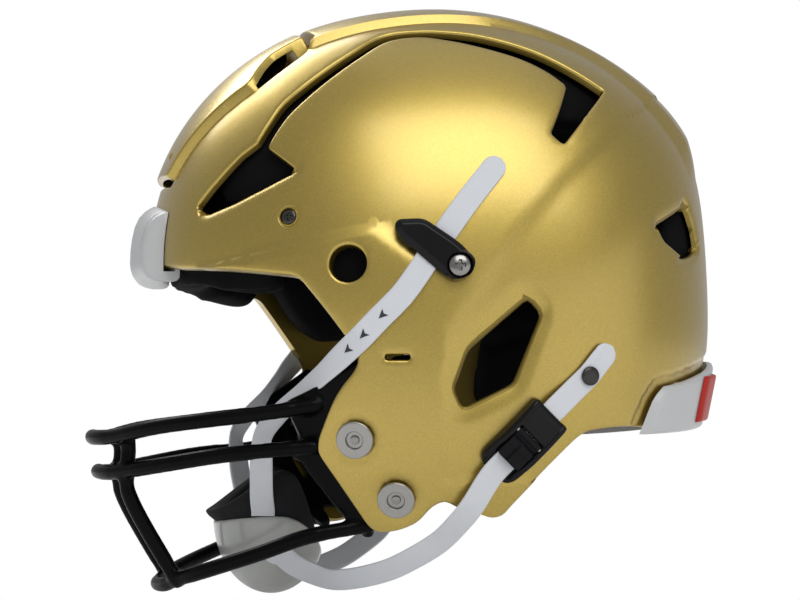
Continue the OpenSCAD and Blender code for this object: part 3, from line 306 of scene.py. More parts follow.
    def spine(self, t, y):
        """Height of the spine, which starts and ends in a ramp."""
        rise = np.clip((t - 38) / 7, 0, 1) * (1 - np.clip((t - 124) / 4, 0, 1))
        w, b = self.spine_width(t), self.spine_bevel(t)
        return self.spine_height * rise * (1 - np.clip((np.abs(y) - w + b) / b, 0, 1))


# ---------------------------------------------------------------- meshes

def read_vectors(items, key):
    """One three-part value of every item as an array."""
    v = np.zeros(len(items) * 3)
    items.foreach_get(key, v)
    return v.reshape(-1, 3)


def read_points(mesh):
    return read_vectors(mesh.vertices, "co")


def set_points(mesh, v):
    mesh.vertices.foreach_set("co", v.ravel())
    mesh.update()


class Mass:
    """Vertices and faces that are put together, with a texture place for each face corner."""

    def __init__(self):
        self.v, self.f, self.uv, self.n = [], [], [], 0

    def add(self, verts, faces, uv=None):
        verts = np.asarray(verts, float).reshape(-1, 3)
        self.v.append(verts)
        self.f.extend([[i + self.n for i in f] for f in faces])
        self.uv.append(np.zeros((len(verts), 2)) if uv is None else uv.reshape(-1, 2))
        self.n += len(verts)
        return self

    def grid(self, p, wrap_u=False, wrap_v=False, ends=False, uv=None):
        """Surface of quads over a grid of points. Ends closes the first and last row."""
        nu, nv = p.shape[:2]
        i = np.arange(nu if wrap_u else nu - 1)[:, None]
        j = np.arange(nv if wrap_v else nv - 1)[None, :]
        a, b = i * nv + j, i * nv + (j + 1) % nv
        c, d = (i + 1) % nu * nv + (j + 1) % nv, (i + 1) % nu * nv + j
        faces = np.stack([a, b, c, d], -1).reshape(-1, 4).tolist()
        if ends:
            faces.append(list(range(nv))[::-1])
            faces.append(list(range((nu - 1) * nv, nu * nv)))
        return self.add(p, faces, uv)

    def slab(self, a, b):
        """Closed body between two grids of the same size."""
        nu, nv = a.shape[:2]
        ring = ([(0, j) for j in range(nv)] + [(i, nv - 1) for i in range(1, nu)]
                + [(nu - 1, j) for j in range(nv - 2, -1, -1)] + [(i, 0) for i in range(nu - 2, 0, -1)])
        k = np.arange(nu * nv).reshape(nu, nv)
        q = np.stack([k[:-1, :-1], k[:-1, 1:], k[1:, 1:], k[1:, :-1]], -1).reshape(-1, 4)
        e = [k[i, j] for i, j in ring]
        m = nu * nv
        side = [[e[i], e[i - 1], e[i - 1] + m, e[i] + m] for i in range(len(e))]
        return self.add(np.vstack([a.reshape(-1, 3), b.reshape(-1, 3)]),
                        q.tolist() + (q[:, ::-1] + m).tolist() + side)

    def mirror(self):
        """Adds the other side's copy."""
        v = np.vstack(self.v) * [1, -1, 1]
        return self.add(v, [f[::-1] for f in self.f], np.vstack(self.uv))


def put_object(name, data):
    ob = bpy.data.objects.new(name, data)
    bpy.context.scene.collection.objects.link(ob)
    return ob


def merge_doubles(mesh, source=None, dist=1e-6, outward=False, tidy=False):
    """Rewrites a mesh with its double points merged."""
    bm = bmesh.new()
    bm.from_mesh(source or mesh)
    if dist:
        bmesh.ops.remove_doubles(bm, verts=bm.verts, dist=dist)
    if tidy:
        bmesh.ops.dissolve_degenerate(bm, edges=bm.edges, dist=dist)
    if outward:
        bmesh.ops.recalc_face_normals(bm, faces=bm.faces)
    bm.to_mesh(mesh)
    bm.free()


def shade_smooth(mesh):
    mesh.polygons.foreach_set("use_smooth", [True] * len(mesh.polygons))


def subdivide(piece, levels):
    m = piece.modifiers.new("fine", "SUBSURF")
    m.levels = m.render_levels = levels


def make_piece(name, mass, body, slot, material, replaces=(), angle=35, side=LEFT, merge=1e-6,
               recalc=True, levels=0, inner=None):
    """One object from a mass in millimetres, on its body and with its finish. The slot is not used."""
    v = np.vstack(mass.v) * MM * [1, side, 1]
    mesh = bpy.data.meshes.new(name)
    mesh.from_pydata(v.tolist(), [], mass.f if side == LEFT else [f[::-1] for f in mass.f])
    uv = np.vstack(mass.uv)
    if np.abs(uv).max() > 0:
        index = np.zeros(len(mesh.loops), int)
        mesh.loops.foreach_get("vertex_index", index)
        layer = mesh.uv_layers.new(name="surface")
        layer.data.foreach_set("uv", uv[index].ravel().astype(np.float32))
    merge_doubles(mesh, dist=merge, outward=recalc, tidy=True)
    shade_smooth(mesh)
    mesh.set_sharp_from_angle(angle=math.radians(angle))
    piece = put_object(name, mesh)
    for skin in (material, inner):
        if skin is not None:
            mesh.materials.append(skin)
    if levels:
        subdivide(piece, levels)
    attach(piece, body)
    if replaces:
        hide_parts(*replaces)
    return piece


def make_pair(stem, kind, mass, body, slot, material, **values):
    """A left piece and its mirrored copy, each for the node of its own side."""
    for side, tag in SIDES:
        node = f"{stem}_{tag}"
        make_piece(f"{stem}_{kind}_{tag}", mass, body or node, slot, material, (node,), side=side,
                   **values)


def dress(material, *nodes):
    """Finish of CAD parts that stay as they are."""
    for node in nodes:
        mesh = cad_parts[node].data
        mesh.materials.clear()
        mesh.materials.append(material)


def inside(points, loop):
    """Whether points lie inside a closed loop: the crossings to one side are counted."""
    x, y = points[:, 0][:, None], points[:, 1][:, None]
    a, b = loop, np.roll(loop, -1, 0)
    hit = (a[:, 1] > y) != (b[:, 1] > y)
    with np.errstate(divide="ignore", invalid="ignore"):
        cross = a[:, 0] + (y - a[:, 1]) * (b[:, 0] - a[:, 0]) / (b[:, 1] - a[:, 1])
    return (np.sum(hit & (x < cross), axis=1) % 2) == 1


def edge_distance(points, a, b):
    """Distance of each point to the nearest of the segments from a to b."""
    out = np.full(len(points), 1e9)
    d = b - a
    dd = np.maximum((d ** 2).sum(1), 1e-12)
    for s in range(0, len(points), 2000):
        p = points[s:s + 2000][:, None, :]
        t = np.clip(((p - a) * d).sum(2) / dd, 0, 1)[..., None]
        out[s:s + 2000] = np.sqrt((((a + t * d) - p) ** 2).sum(2).min(1))
    return out


class Sheet:
    """Triangles over a flat region with holes, and every vertex's distance to its edges.

    Rows of points run beside each edge at the given distances, and a grid of equal triangles
    fills the rest.
    """

    def __init__(self, loops, step, rows=(), seam=None, creases=()):
        seam = seam or (lambda p: np.zeros(len(p), bool))
        a = np.vstack(loops)
        b = np.vstack([np.roll(l, -1, 0) for l in loops])
        start = np.cumsum([0] + [len(l) for l in loops])
        pairs = np.vstack([np.stack([np.arange(len(l)), np.roll(np.arange(len(l)), -1)], 1) + s
                           for l, s in zip(loops, start)])
        on_seam = seam(a) & seam(b) & seam((a + b) / 2)
        extra = []
        for l in loops:
            area = 0.5 * np.sum(l[:, 0] * np.roll(l[:, 1], -1) - np.roll(l[:, 0], -1) * l[:, 1])
            turn = 1 if (area > 0) == (l is loops[0]) else -1
            t = unit(np.roll(l, -1, 0) - np.roll(l, 1, 0))
            n = np.stack([-t[:, 1], t[:, 0]], 1) * turn
            for d in rows:
                extra.append(np.hstack([l + n * d, np.full((len(l), 1), d)]))
        lo, hi = loops[0].min(0), loops[0].max(0)
        h = step * math.sqrt(3) / 2
        gy = np.arange(lo[1], hi[1], h)
        gx = np.arange(lo[0], hi[0], step)
        x, y = np.meshgrid(gx, gy)
        x = x + (np.arange(len(gy)) % 2)[:, None] * step / 2
        fill = np.stack([x.ravel(), y.ravel()], 1)
        fill = fill[self.within(fill, loops)]
        last = rows[-1] if len(rows) else 0
        fill = fill[edge_distance(fill, a, b) > last + 0.5 * step]
        if extra:
            e = np.vstack(extra)
            e = e[self.within(e[:, :2], loops)]
            e = e[edge_distance(e[:, :2], a[~on_seam], b[~on_seam]) > e[:, 2] * 0.96]
            e = e[edge_distance(e[:, :2], a, b) > 0.3 * rows[0]]
            fill = np.vstack([e[:, :2], fill])
        rest, joins, n = [], [], len(a)
        for line in creases:
            clear = self.within(line, loops) & (edge_distance(line, a, b) > 0.55)
            clear[1:] &= np.linalg.norm(np.diff(line, axis=0), axis=1) < 2 * step
            index = np.cumsum(clear) - 1 + n + sum(len(r) for r in rest)
            both = np.flatnonzero(clear[:-1] & clear[1:])
            joins.extend(zip(index[both].tolist(), index[both + 1].tolist()))
            rest.append(line[clear])
        if rest:
            line = np.vstack(rest)
            near = np.concatenate([np.linalg.norm(fill[k:k + 500, None] - line[None], axis=2).min(1)
                                   for k in range(0, len(fill), 500)])
            pairs = np.vstack([pairs, np.array(joins)])
            fill = np.vstack([line, fill[near > 0.45 * step]])
        pts = np.vstack([a, fill])
        out = delaunay_2d_cdt([Vector(p) for p in pts], [tuple(p) for p in pairs.tolist()], [], 0,
                              1e-6, True)
        self.uv = np.array([[p.x, p.y] for p in out[0]])
        tri = np.array(out[2])
        mid = self.uv[tri].mean(1)
        self.tri = tri[self.within(mid, loops)]
        place = np.zeros(len(pts), int)
        for new, old in enumerate(out[3]):
            for o in old:
                place[o] = new
        self.rim = [(place[i], place[j]) for (i, j), s in zip(pairs[:len(a)], on_seam) if not s]
        self.owner = [k for k, l in enumerate(loops) for _ in range(len(l))]
        self.owner = [w for w, s in zip(self.owner, on_seam) if not s]
        self.edge = edge_distance(self.uv, a[~on_seam], b[~on_seam])
        self.to_loop = []
        for k, l in enumerate(loops):
            m = np.zeros(len(a), bool)
            m[start[k]:start[k + 1]] = True
            m &= ~on_seam
            self.to_loop.append(edge_distance(self.uv, a[m], b[m]))

    @staticmethod
    def within(p, loops):
        ok = inside(p, loops[0])
        for l in loops[1:]:
            ok &= ~inside(p, l)
        return ok


def wall_body(mass, outer, inner, top, bottom):
    """Closed wall between an outer and an inner sheet with the same edges."""
    n = len(top)
    faces = outer.tri.tolist() + (inner.tri[:, ::-1] + n).tolist()
    faces += [[a, b, d + n, c + n] for (a, b), (c, d) in zip(outer.rim, inner.rim)]
    return mass.add(np.vstack([top, bottom]), faces)


def frames(path, up=None, face=None):
    """Tangent and two cross directions at each point of a path. They follow a given face, or are
    carried along from the start with no twist."""
    t = unit(np.gradient(path, axis=0))
    if face is not None:
        side = unit(np.cross(t, face))
        return t, side, unit(np.cross(side, t))
    u = np.zeros_like(path)
    u[0] = unit(np.cross(up, t[0]))
    for i in range(1, len(path)):
        u[i] = unit(u[i - 1] - t[i] * (u[i - 1] @ t[i]))
    return t, u, np.cross(t, u)


def tube(mass, path, diameter, up=(0, 0, 1), n=24):
    """Round bar: a circle carried along the path, its ends rounded."""
    t, u, w = frames(path, np.array(up, float))
    k = np.array([0.0, 0.35, 0.7, 0.92])
    r = np.full(len(path), diameter / 2)
    lead = path[0] - t[0] * r[0] * np.sqrt(1 - k ** 2)[:, None]
    tail = path[-1] + t[-1] * r[-1] * np.sqrt(1 - k[::-1] ** 2)[:, None]
    path = np.vstack([lead, path, tail])
    r = np.concatenate([k * r[0] + 0.01, r, k[::-1] * r[-1] + 0.01])
    u, w = (np.vstack([np.repeat(q[:1], 4, 0), q, np.repeat(q[-1:], 4, 0)]) for q in (u, w))
    a = around(n)
    p = path[:, None] + r[:, None, None] * (np.cos(a)[None, :, None] * u[:, None]
                                            + np.sin(a)[None, :, None] * w[:, None])
    return mass.grid(p, wrap_v=True, ends=True)


def ribbon(mass, path, face, width, thick, round_start=False, round_end=False):
    """Webbing: a rounded oblong section carried along the path, with its face turned as given.
    The texture place is the distance along and across it in millimetres."""
    side, out = frames(path, face=face)[1:]
    s = np.concatenate([[0], np.cumsum(np.linalg.norm(np.diff(path, axis=0), axis=1))])
    half = np.full(len(path), width / 2)
    for rounded, from_end in ((round_start, s), (round_end, s[-1] - s)):
        if rounded:
            half *= np.sqrt(np.clip(1 - (1 - np.clip(from_end / (width / 2), 0, 1)) ** 2, 0.02, 1))
    x = np.array([-1, -0.97, -0.88, -0.5, 0, 0.5, 0.88, 0.97, 1])
    z = np.array([0.25, 0.75, 1, 0.93, 0.9, 0.93, 1, 0.75, 0.25])
    sx = np.concatenate([x, x[::-1]])
    sz = np.concatenate([z, -z[::-1]])
    p = path[:, None] + (sx[None, :, None] * half[:, None, None] * side[:, None]
                         + sz[None, :, None] * thick / 2 * out[:, None])
    uv = np.stack([np.broadcast_to(s[:, None], p.shape[:2]),
                   np.broadcast_to(sx[None] * width / 2, p.shape[:2])], -1)
    return mass.grid(p, wrap_v=True, ends=True, uv=uv)


def lathe(mass, seat, profile, n=48, ring=False):
    """Turned body: a profile of radius and height swept round the seat's outward axis, closed on
    itself where it is a ring. The texture place is the angle and the radius."""
    o, ax = seat
    p = np.asarray(profile, float)
    a = around(n)
    q = (o + p[:, None, :1] * (np.cos(a)[None, :, None] * ax[0] + np.sin(a)[None, :, None] * ax[1])
         + p[:, None, 1:] * ax[2])
    uv = np.stack([np.broadcast_to(a[None], q.shape[:2]), np.broadcast_to(p[:, :1], q.shape[:2])], -1)
    return mass.grid(q, wrap_u=ring, wrap_v=True, ends=not ring, uv=uv)


def relief(mass, seat, loop, step, top, bottom):
    """Moulded body over an outline in the seat's plane. Its top and bottom heights are functions
    of the place and of the distance to the outline."""
    o, ax = seat
    fine, rough = Sheet([loop], step, (0.2, 0.5, 0.9)), Sheet([loop], step * 1.6)
    put = lambda sheet, z: o + sheet.uv[:, :1] * ax[0] + sheet.uv[:, 1:] * ax[1] + z[:, None] * ax[2]
    return wall_body(mass, fine, rough, put(fine, top(fine.uv, fine.edge)),
                     put(rough, bottom(rough.uv)))


def level_at(height):
    """Flat underside for a relief."""
    return lambda uv: np.full(len(uv), height)


def domed_head(mass, seat, radius, base, dome, cross, shank, n=96):
    """Screw with a domed head less a cross recess (its reach, width and depth) on a shank (its
    radius and lowest height), as rings of points of which each has its height."""
    o, ax = seat
    reach, width, depth = cross
    r = np.concatenate([np.linspace(0.02, reach * 1.3, 24), np.linspace(reach * 1.3, radius, 10)[1:]])
    a = around(n)
    x, y = r[:, None] * np.cos(a), r[:, None] * np.sin(a)
    arm, far = np.minimum(abs(x), abs(y)), np.maximum(abs(x), abs(y))
    dip = ((1 - smooth_step(width / 2 - 0.1, width / 2 + 0.15, arm))
           * (1 - smooth_step(reach - 0.4, reach, far)))
    z = base + dome * np.sqrt(1 - 0.97 * (r / radius) ** 2)[:, None] - depth * dip
    for far, h in ((radius, base), (radius, base - 0.9), (shank[0], base - 0.9), (shank[0], shank[1])):
        x, y = np.vstack([x, far * np.cos(a)]), np.vstack([y, far * np.sin(a)])
        z = np.vstack([z, np.full((1, n), h)])
    q = o + x[..., None] * ax[0] + y[..., None] * ax[1] + z[..., None] * ax[2]
    uv = np.stack([np.broadcast_to(a, x.shape), np.hypot(x, y)], -1)
    return mass.grid(q, wrap_v=True, ends=True, uv=uv)


# ---------------------------------------------------------------- finishes

def node_group(name, inputs, outputs):
    """Group with named sockets, and its nodes, links, inputs and outputs."""
    g = bpy.data.node_groups.new(name, "ShaderNodeTree")
    for key, value in inputs.items():
        s = g.interface.new_socket(name=key, in_out="INPUT", socket_type="NodeSocketFloat")
        s.default_value = value
    for key, kind in outputs.items():
        g.interface.new_socket(name=key, in_out="OUTPUT", socket_type="NodeSocket" + kind)
    n = g.nodes
    return g, n, g.links, n.new("NodeGroupInput").outputs, n.new("NodeGroupOutput").inputs


def object_place(nodes):
    return nodes.new("ShaderNodeTexCoord").outputs["Object"]


def surface_place(nodes):
    uv = nodes.new("ShaderNodeUVMap")
    uv.uv_map = "surface"
    return uv.outputs["UV"]


def texture(nodes, links, kind, place, scale):
    tex = nodes.new("ShaderNodeTex" + kind)
    links.new(place, tex.inputs["Vector"])
    links.new(scale, tex.inputs["Scale"])
    return tex


def bumped(nodes, links, height, strength, distance_m):
    """Normal of a height that stands out by a distance."""
    bump = nodes.new("ShaderNodeBump")
    bump.inputs["Distance"].default_value = distance_m
    links.new(height, bump.inputs["Height"])
    links.new(strength, bump.inputs["Strength"])
    return bump.outputs["Normal"]


def grain_group():
    """Fine bumps and blotches on Object coordinates: a normal and a 0 to 1 mask."""
    g, n, l, i, o = node_group("surface grain", {"Size": 900, "Depth": 0.1, "Blotch size": 20},
                               {"Mask": "Float", "Normal": "Vector"})
    place = object_place(n)
    fine = texture(n, l, "Noise", place, i["Size"])
    fine.inputs["Detail"].default_value = 3
    l.new(texture(n, l, "Noise", place, i["Blotch size"]).outputs["Fac"], o["Mask"])
    l.new(bumped(n, l, fine.outputs["Fac"], i["Depth"], 0.0004), o["Normal"])
    return g


def flake_group():
    """Metal flakes under a clear coat: each has its own tone, and tilts the surface a little."""
    g, n, l, i, o = node_group("metal flakes", {"Flake size": 2600, "Tilt": 0.12, "Blotch size": 14},
                               {"Flake": "Float", "Mask": "Float", "Normal": "Vector"})
    place, hue = object_place(n), n.new("ShaderNodeSeparateColor")
    flake = texture(n, l, "Voronoi", place, i["Flake size"])
    l.new(flake.outputs["Color"], hue.inputs["Color"])
    l.new(hue.outputs["Red"], o["Flake"])
    l.new(texture(n, l, "Noise", place, i["Blotch size"]).outputs["Fac"], o["Mask"])
    l.new(bumped(n, l, hue.outputs["Green"], i["Tilt"], 0.0004), o["Normal"])
    return g


def weave_group():
    """Woven yarns as two crossed waves on the strap's own length and width."""
    g, n, l, i, o = node_group("weave", {"Pitch": 0.9, "Depth": 0.35},
                               {"Yarn": "Float", "Normal": "Vector"})
    split = n.new("ShaderNodeSeparateXYZ")
    l.new(surface_place(n), split.inputs["Vector"])

    def maths(op, *values):
        k = n.new("ShaderNodeMath")
        k.operation = op
        for slot, v in zip(k.inputs, values):
            if isinstance(v, bpy.types.NodeSocket):
                l.new(v, slot)
            else:
                slot.default_value = v
        return k.outputs[0]

    turn = maths("DIVIDE", 2 * math.pi, i["Pitch"])
    along, across = (maths("SINE", maths("MULTIPLY", split.outputs[k], turn)) for k in "XY")
    height = maths("MULTIPLY_ADD", maths("MULTIPLY", along, across), 0.5, 0.5)
    l.new(height, o["Yarn"])
    l.new(bumped(n, l, height, i["Depth"], 0.00015), o["Normal"])
    return g


def ring_group():
    """Fine rings that a lathe leaves round a fastener's own axis."""
    g, n, l, i, o = node_group("turned rings", {"Rings": 2.2, "Depth": 0.1},
                               {"Ring": "Float", "Normal": "Vector"})
    size, scale, noise = (n.new("ShaderNode" + k) for k in ("CombineXYZ", "VectorMath", "TexNoise"))
    scale.operation = "MULTIPLY"
    size.inputs["X"].default_value = 0.35
    noise.inputs["Scale"].default_value, noise.inputs["Detail"].default_value = 6, 4
    l.new(i["Rings"], size.inputs["Y"])
    l.new(surface_place(n), scale.inputs[0])
    l.new(size.outputs[0], scale.inputs[1])
    l.new(scale.outputs[0], noise.inputs["Vector"])
    l.new(noise.outputs["Fac"], o["Ring"])
    l.new(bumped(n, l, noise.outputs["Fac"], i["Depth"], 0.0002), o["Normal"])
    return g


def new_material(name):
    m = bpy.data.materials.new(name)
    m.use_nodes = True
    n = m.node_tree.nodes
    return m, n, m.node_tree.links, n["Principled BSDF"]


def tone(rgb, k):
    return tuple(min(1.0, c * k) for c in rgb)


def finish(name, group, values, masks, tones, ends, rough, shader):
    """Material whose tone and roughness each run between two values by a mask of its group, which
    also gives its normal. The ends are the mask's values at the two tones."""
    m, n, l, b = new_material(name)
    g = n.new("ShaderNodeGroup")
    g.node_tree = group
    for key, value in values.items():
        g.inputs[key].default_value = value
    ramp, spread = n.new("ShaderNodeValToRGB"), n.new("ShaderNodeMapRange")
    for mark, at, rgb in zip(ramp.color_ramp.elements, ends, tones):
        mark.position, mark.color = at, (*rgb, 1)
    spread.inputs["To Min"].default_value, spread.inputs["To Max"].default_value = rough
    l.new(g.outputs[masks[0]], ramp.inputs["Fac"])
    l.new(ramp.outputs["Color"], b.inputs["Base Color"])
    l.new(g.outputs[masks[1]], spread.inputs["Value"])
    l.new(spread.outputs["Result"], b.inputs["Roughness"])
    l.new(g.outputs["Normal"], b.inputs["Normal"])
    for key, value in shader.items():
        b.inputs[key].default_value = value
    return m


def moulded(name, group, rgb, rough, spread, size, depth, vary, blotch=30, coat=0.0, specular=0.5,
            soft=0.0, metallic=0.0):
    """Moulded, coated or foamed surface: a tone that varies a little, with grain in its normal
    and its roughness."""
    return finish(name, group, {"Size": size, "Depth": depth, "Blotch size": blotch}, ("Mask", "Mask"),
                  (tone(rgb, 1 - vary), tone(rgb, 1 + vary)), (0.3, 0.7),
                  (rough - spread, rough + spread),
                  {"Metallic": metallic, "Coat Weight": coat, "Coat Roughness": 0.05,
                   "Specular IOR Level": specular, "Subsurface Weight": soft,
                   "Subsurface Scale": 0.004})


def painted(name, group, rgb, coat, rough):
    """Metallic paint: flakes tilt the base's normal and vary its tone, under a clear coat that
    keeps its own smooth surface."""
    return finish(name, group, {}, ("Flake", "Mask"), (tone(rgb, 0.9), tone(rgb, 1.1)), (0, 1),
                  (rough - 0.03, rough + 0.03),
                  {"Metallic": 1.0, "Coat Weight": coat, "Coat Roughness": 0.22})


def turned(name, group, rgb, rough, depth=0.1):
    """Turned metal: fine rings round each fastener's own axis."""
    return finish(name, group, {"Rings": 2.2, "Depth": depth}, ("Ring", "Ring"),
                  (tone(rgb, 0.85), tone(rgb, 1.1)), (0.3, 0.7), (rough - 0.06, rough + 0.08),
                  {"Metallic": 1.0})


def woven(name, group, rgb, pitch):
    """Woven strap: yarns stand out in the normal, the tone and the roughness."""
    return finish(name, group, {"Pitch": pitch, "Depth": 0.35}, ("Yarn", "Yarn"),
                  (tone(rgb, 0.93), tone(rgb, 1.04)), (0.1, 0.9), (0.7, 0.58), {"Sheen Weight": 0.1})


FINISH = {}


def make_finishes(c, sizes):
    grain, flakes, rings = grain_group(), flake_group(), ring_group()
    gold, guard, plastic, bumper, plate, steel, cup, padding = (
        tuple(k) for k in (c.gold, c.guard, c.plastic, c.bumper, c.plate, c.steel, c.cup, c.padding))
    FINISH.update(
        gold=painted("gold paint", flakes, gold, 1.0, 0.34),
        # Inside of the shell and the walls of its cuts: a rougher, unpolished moulding, with its tone
        # halved as painted shade.
        gold_inside=painted("gold inside with painted shade", flakes, tone(gold, 0.5), 0.3, 0.5),
        guard=moulded("black coated bar", grain, guard, 0.3, 0.04, 350, 0.06, 0.3, coat=0.06,
                      specular=0.04),
        plastic=moulded("black moulding", grain, plastic, 0.22, 0.04, 1100, 0.03, 0.25, coat=0.2,
                        specular=0.08),
        matt=moulded("matt black moulding", grain, tone(plastic, 1.4), 0.6, 0.06, 1400, 0.2, 0.2,
                     specular=0.1),
        print=moulded("dark print", grain, tone(plastic, 4), 0.6, 0.05, 1500, 0.1, 0.2),
        webbing=woven("white webbing", weave_group(), tuple(c.webbing), sizes.weave / MM),
        bumper=moulded("white rubber", grain, bumper, 0.36, 0.05, 700, 0.05, 0.03, 16, coat=0.2,
                       soft=0.05),
        plate=moulded("red moulding", grain, plate, 0.36, 0.05, 900, 0.05, 0.1, specular=0.2),
        steel=turned("turned steel", rings, tone(steel, 0.7), 0.34),
        bright=turned("bright steel", rings, tone(steel, 0.55), 0.2, 0.04),
        smoked=turned("smoked steel", rings, tone(steel, 0.16), 0.22, 0.04),
        dark=turned("dark steel", rings, tone(steel, 0.12), 0.34, 0.06),
        rod=moulded("drawn steel", grain, steel, 0.3, 0.06, 500, 0.05, 0.1, metallic=1.0),
        cup=moulded("grey cup", grain, cup, 0.24, 0.05, 260, 0.05, 0.08, 40, coat=0.4, soft=0.1),
        padding=moulded("black padding", grain, padding, 0.88, 0.06, 1500, 0.3, 0.25, 35,
                        specular=0.08),
        foam=moulded("black foam", grain, tone(padding, 3), 0.85, 0.06, 800, 0.5, 0.3, 60,
                     specular=0.25),
    )


# ---------------------------------------------------------------- shell

# Outlines in the side view, by x and z, and of the front opening by side view angle and width.
LOWER_EDGE = [(152.5, 89.2), (130.2, 87), (105.5, 85.6), (93, 86.6), (80, 85.2), (70, 83.5),
              (51.6, 65.4), (34.2, 46.5), (31.3, 42.6), (25.3, 41.1), (19.3, 43.4), (7.3, 46.8),
              (1.8, 50.2), (-4.7, 46.8), (-10.6, 39), (-20.5, 34.7), (-32, 33.9), (-59.6, 73.3),
              (-60.2, 79.2), (-52.8, 102.2), (-39.4, 118.9), (-49.4, 133.5), (-59, 146.6),
              (-68, 158.2), (-71, 160.3), (-101.5, 164.3), (-124.1, 166.8)]
LOWER_ROUND = [6, 6, 6, 6, 6, 10, 5, 4, 3, 3, 3, 3, 3, 4, 4, 6, 8, 5, 5, 12, 9, 6, 4, 2, 3, 6, 4]
EAR_CUT = [(41.9, 149.7), (48.4, 142.3), (33.9, 107.2), (9, 95), (4.5, 105), (11.5, 123.9)]
SLOT_BAND = [(-116.8, 197.4), (-110.4, 206.1), (-102, 216), (-95.5, 222.9), (-87.5, 228.9),
             (-81.1, 239.1), (-73.7, 249.4), (-63.7, 258.1), (-53.3, 266.3), (-36.9, 277.8),
             (-20.5, 287.4), (-2, 290), (14, 289.5), (29, 287.5), (55.1, 279.9), (75.2, 269.8),
             (91.7, 259.2)]
SLOT_DOME = [(-112.7, 194), (-99.3, 199.4), (-84.4, 207.1), (-70.4, 214.5), (-83, 226.1),
             (-78.1, 234.3), (-72.1, 242.5), (-61.7, 252.7), (-50.7, 262), (-35.3, 273.5),
             (-19.4, 283.5), (-2.9, 286.2), (10.1, 284.6), (22.2, 282), (47.7, 274.4), (61.3, 267.3),
             (70.3, 260.1)]
LEG_A = [(77.5, 243.6), (63.6, 227.8)]
LEG_B = [(57.6, 233.3), (64, 245.9)]
REAR_VENT = [(134.4, 200.9), (140.3, 189), (142.4, 179.4), (137.6, 175.4), (130.3, 173.4),
             (117.4, 180.9), (112.9, 188.6)]
CUT_FRONT, CUT_REAR = 152.2, 118
PANEL_CUT = [(148, 32.1), (144, 36.5), (140, 41), (136, 45.2), (132, 48.9), (130, 49.8),
             (126, 49.2), (122, 46.7)]
# Heights of the shell's edge on the centre line, and places in the side view.
BROW_Z, NECK_Z = 170.2, 91.4
DISC_UP, DISC_LO = (-42.2, 80.4), (-21.6, 51.2)
CLIP_AT, TEMPLE_AT, RIVET_AT = (6.9, 164.5), (-74.2, 190.1), (71.9, 111.7)
TEMPLE_HOLE, SMALL_SLOT = (-46.1, 166), (-23, 120.4)
# Round holes: place, radius and count of points.
HOLES = ((TEMPLE_HOLE, 9.1, 40), (DISC_UP, 5.8, 24), (DISC_LO, 5.8, 24), (CLIP_AT, 2.7, 16),
         (TEMPLE_AT, 4.4, 28), (RIVET_AT, 2.3, 14))
# Relief on the shell: outline of the raised side with the widths of its ramps, the dome's lower
# limit, and the lips of the vents.
RAISED_SIDE = [(-118, 166.6), (-30.8, 186.7), (-5.5, 166.8), (-38, 134), (-70, 110), (-120, 140)]
RAISED_RAMPS = (3.6, 6.4, 2.6)
DOME_LINE = [(101.1, 244.2), (59.8, 208.9), (32.7, 178.1), (17.2, 153.3), (2.3, 133.7)]
VENT_LIP = [(-118.6, 190.8), (-69.4, 213.5)]
REAR_LIPS = ([(113, 188.6), (134.4, 200.9)], [(130.3, 173.4), (137.6, 175.4), (142.4, 179.4)],
             [(134.4, 200.9), (142.4, 179.4)])
# Upper edge of the neck bumper: widths, and the height at each.
BUMPER_TOP = (0, 25, 50, 70, 84, 95, 98.5, 100), (122.6, 121.6, 117.2, 113.1, 109.5, 106.8, 98, 85)
# Sheets: millimetres in a degree of the flat disc, steps of the outer and inner sheet in degrees.
DISC_SCALE, OUTER_STEP, INNER_STEP = 2.3, 0.95, 2.2
SEAT_SECTION = [(2.3, -3.9), (2.3, -2.1), (3.9, -2.0), (4.1, -1.7), (4.15, -0.3), (4.3, 0.05),
                (4.7, 0.1), (5.0, -0.2), (5.0, -3.9)]


def ring_on(form, at, radius, n):
    """Circle on the left side round a place, in the side view."""
    o, ax = form.seat(at)
    a = polar(around(n))
    return (o + radius * (a[:, :1] * ax[0] + a[:, 1:] * ax[1]))[:, [0, 2]]


def crown_slot():
    """Outline of the front vent, the slot along the spine and the leg at its rear end."""
    band = np.vstack([SLOT_BAND[:4], flow(SLOT_BAND[4:], 6)])
    dome = np.vstack([SLOT_DOME[:4], flow(SLOT_DOME[4:], 6)])
    p = np.vstack([band, LEG_A, LEG_B, dome[::-1]])
    return eased(p, 1.6)


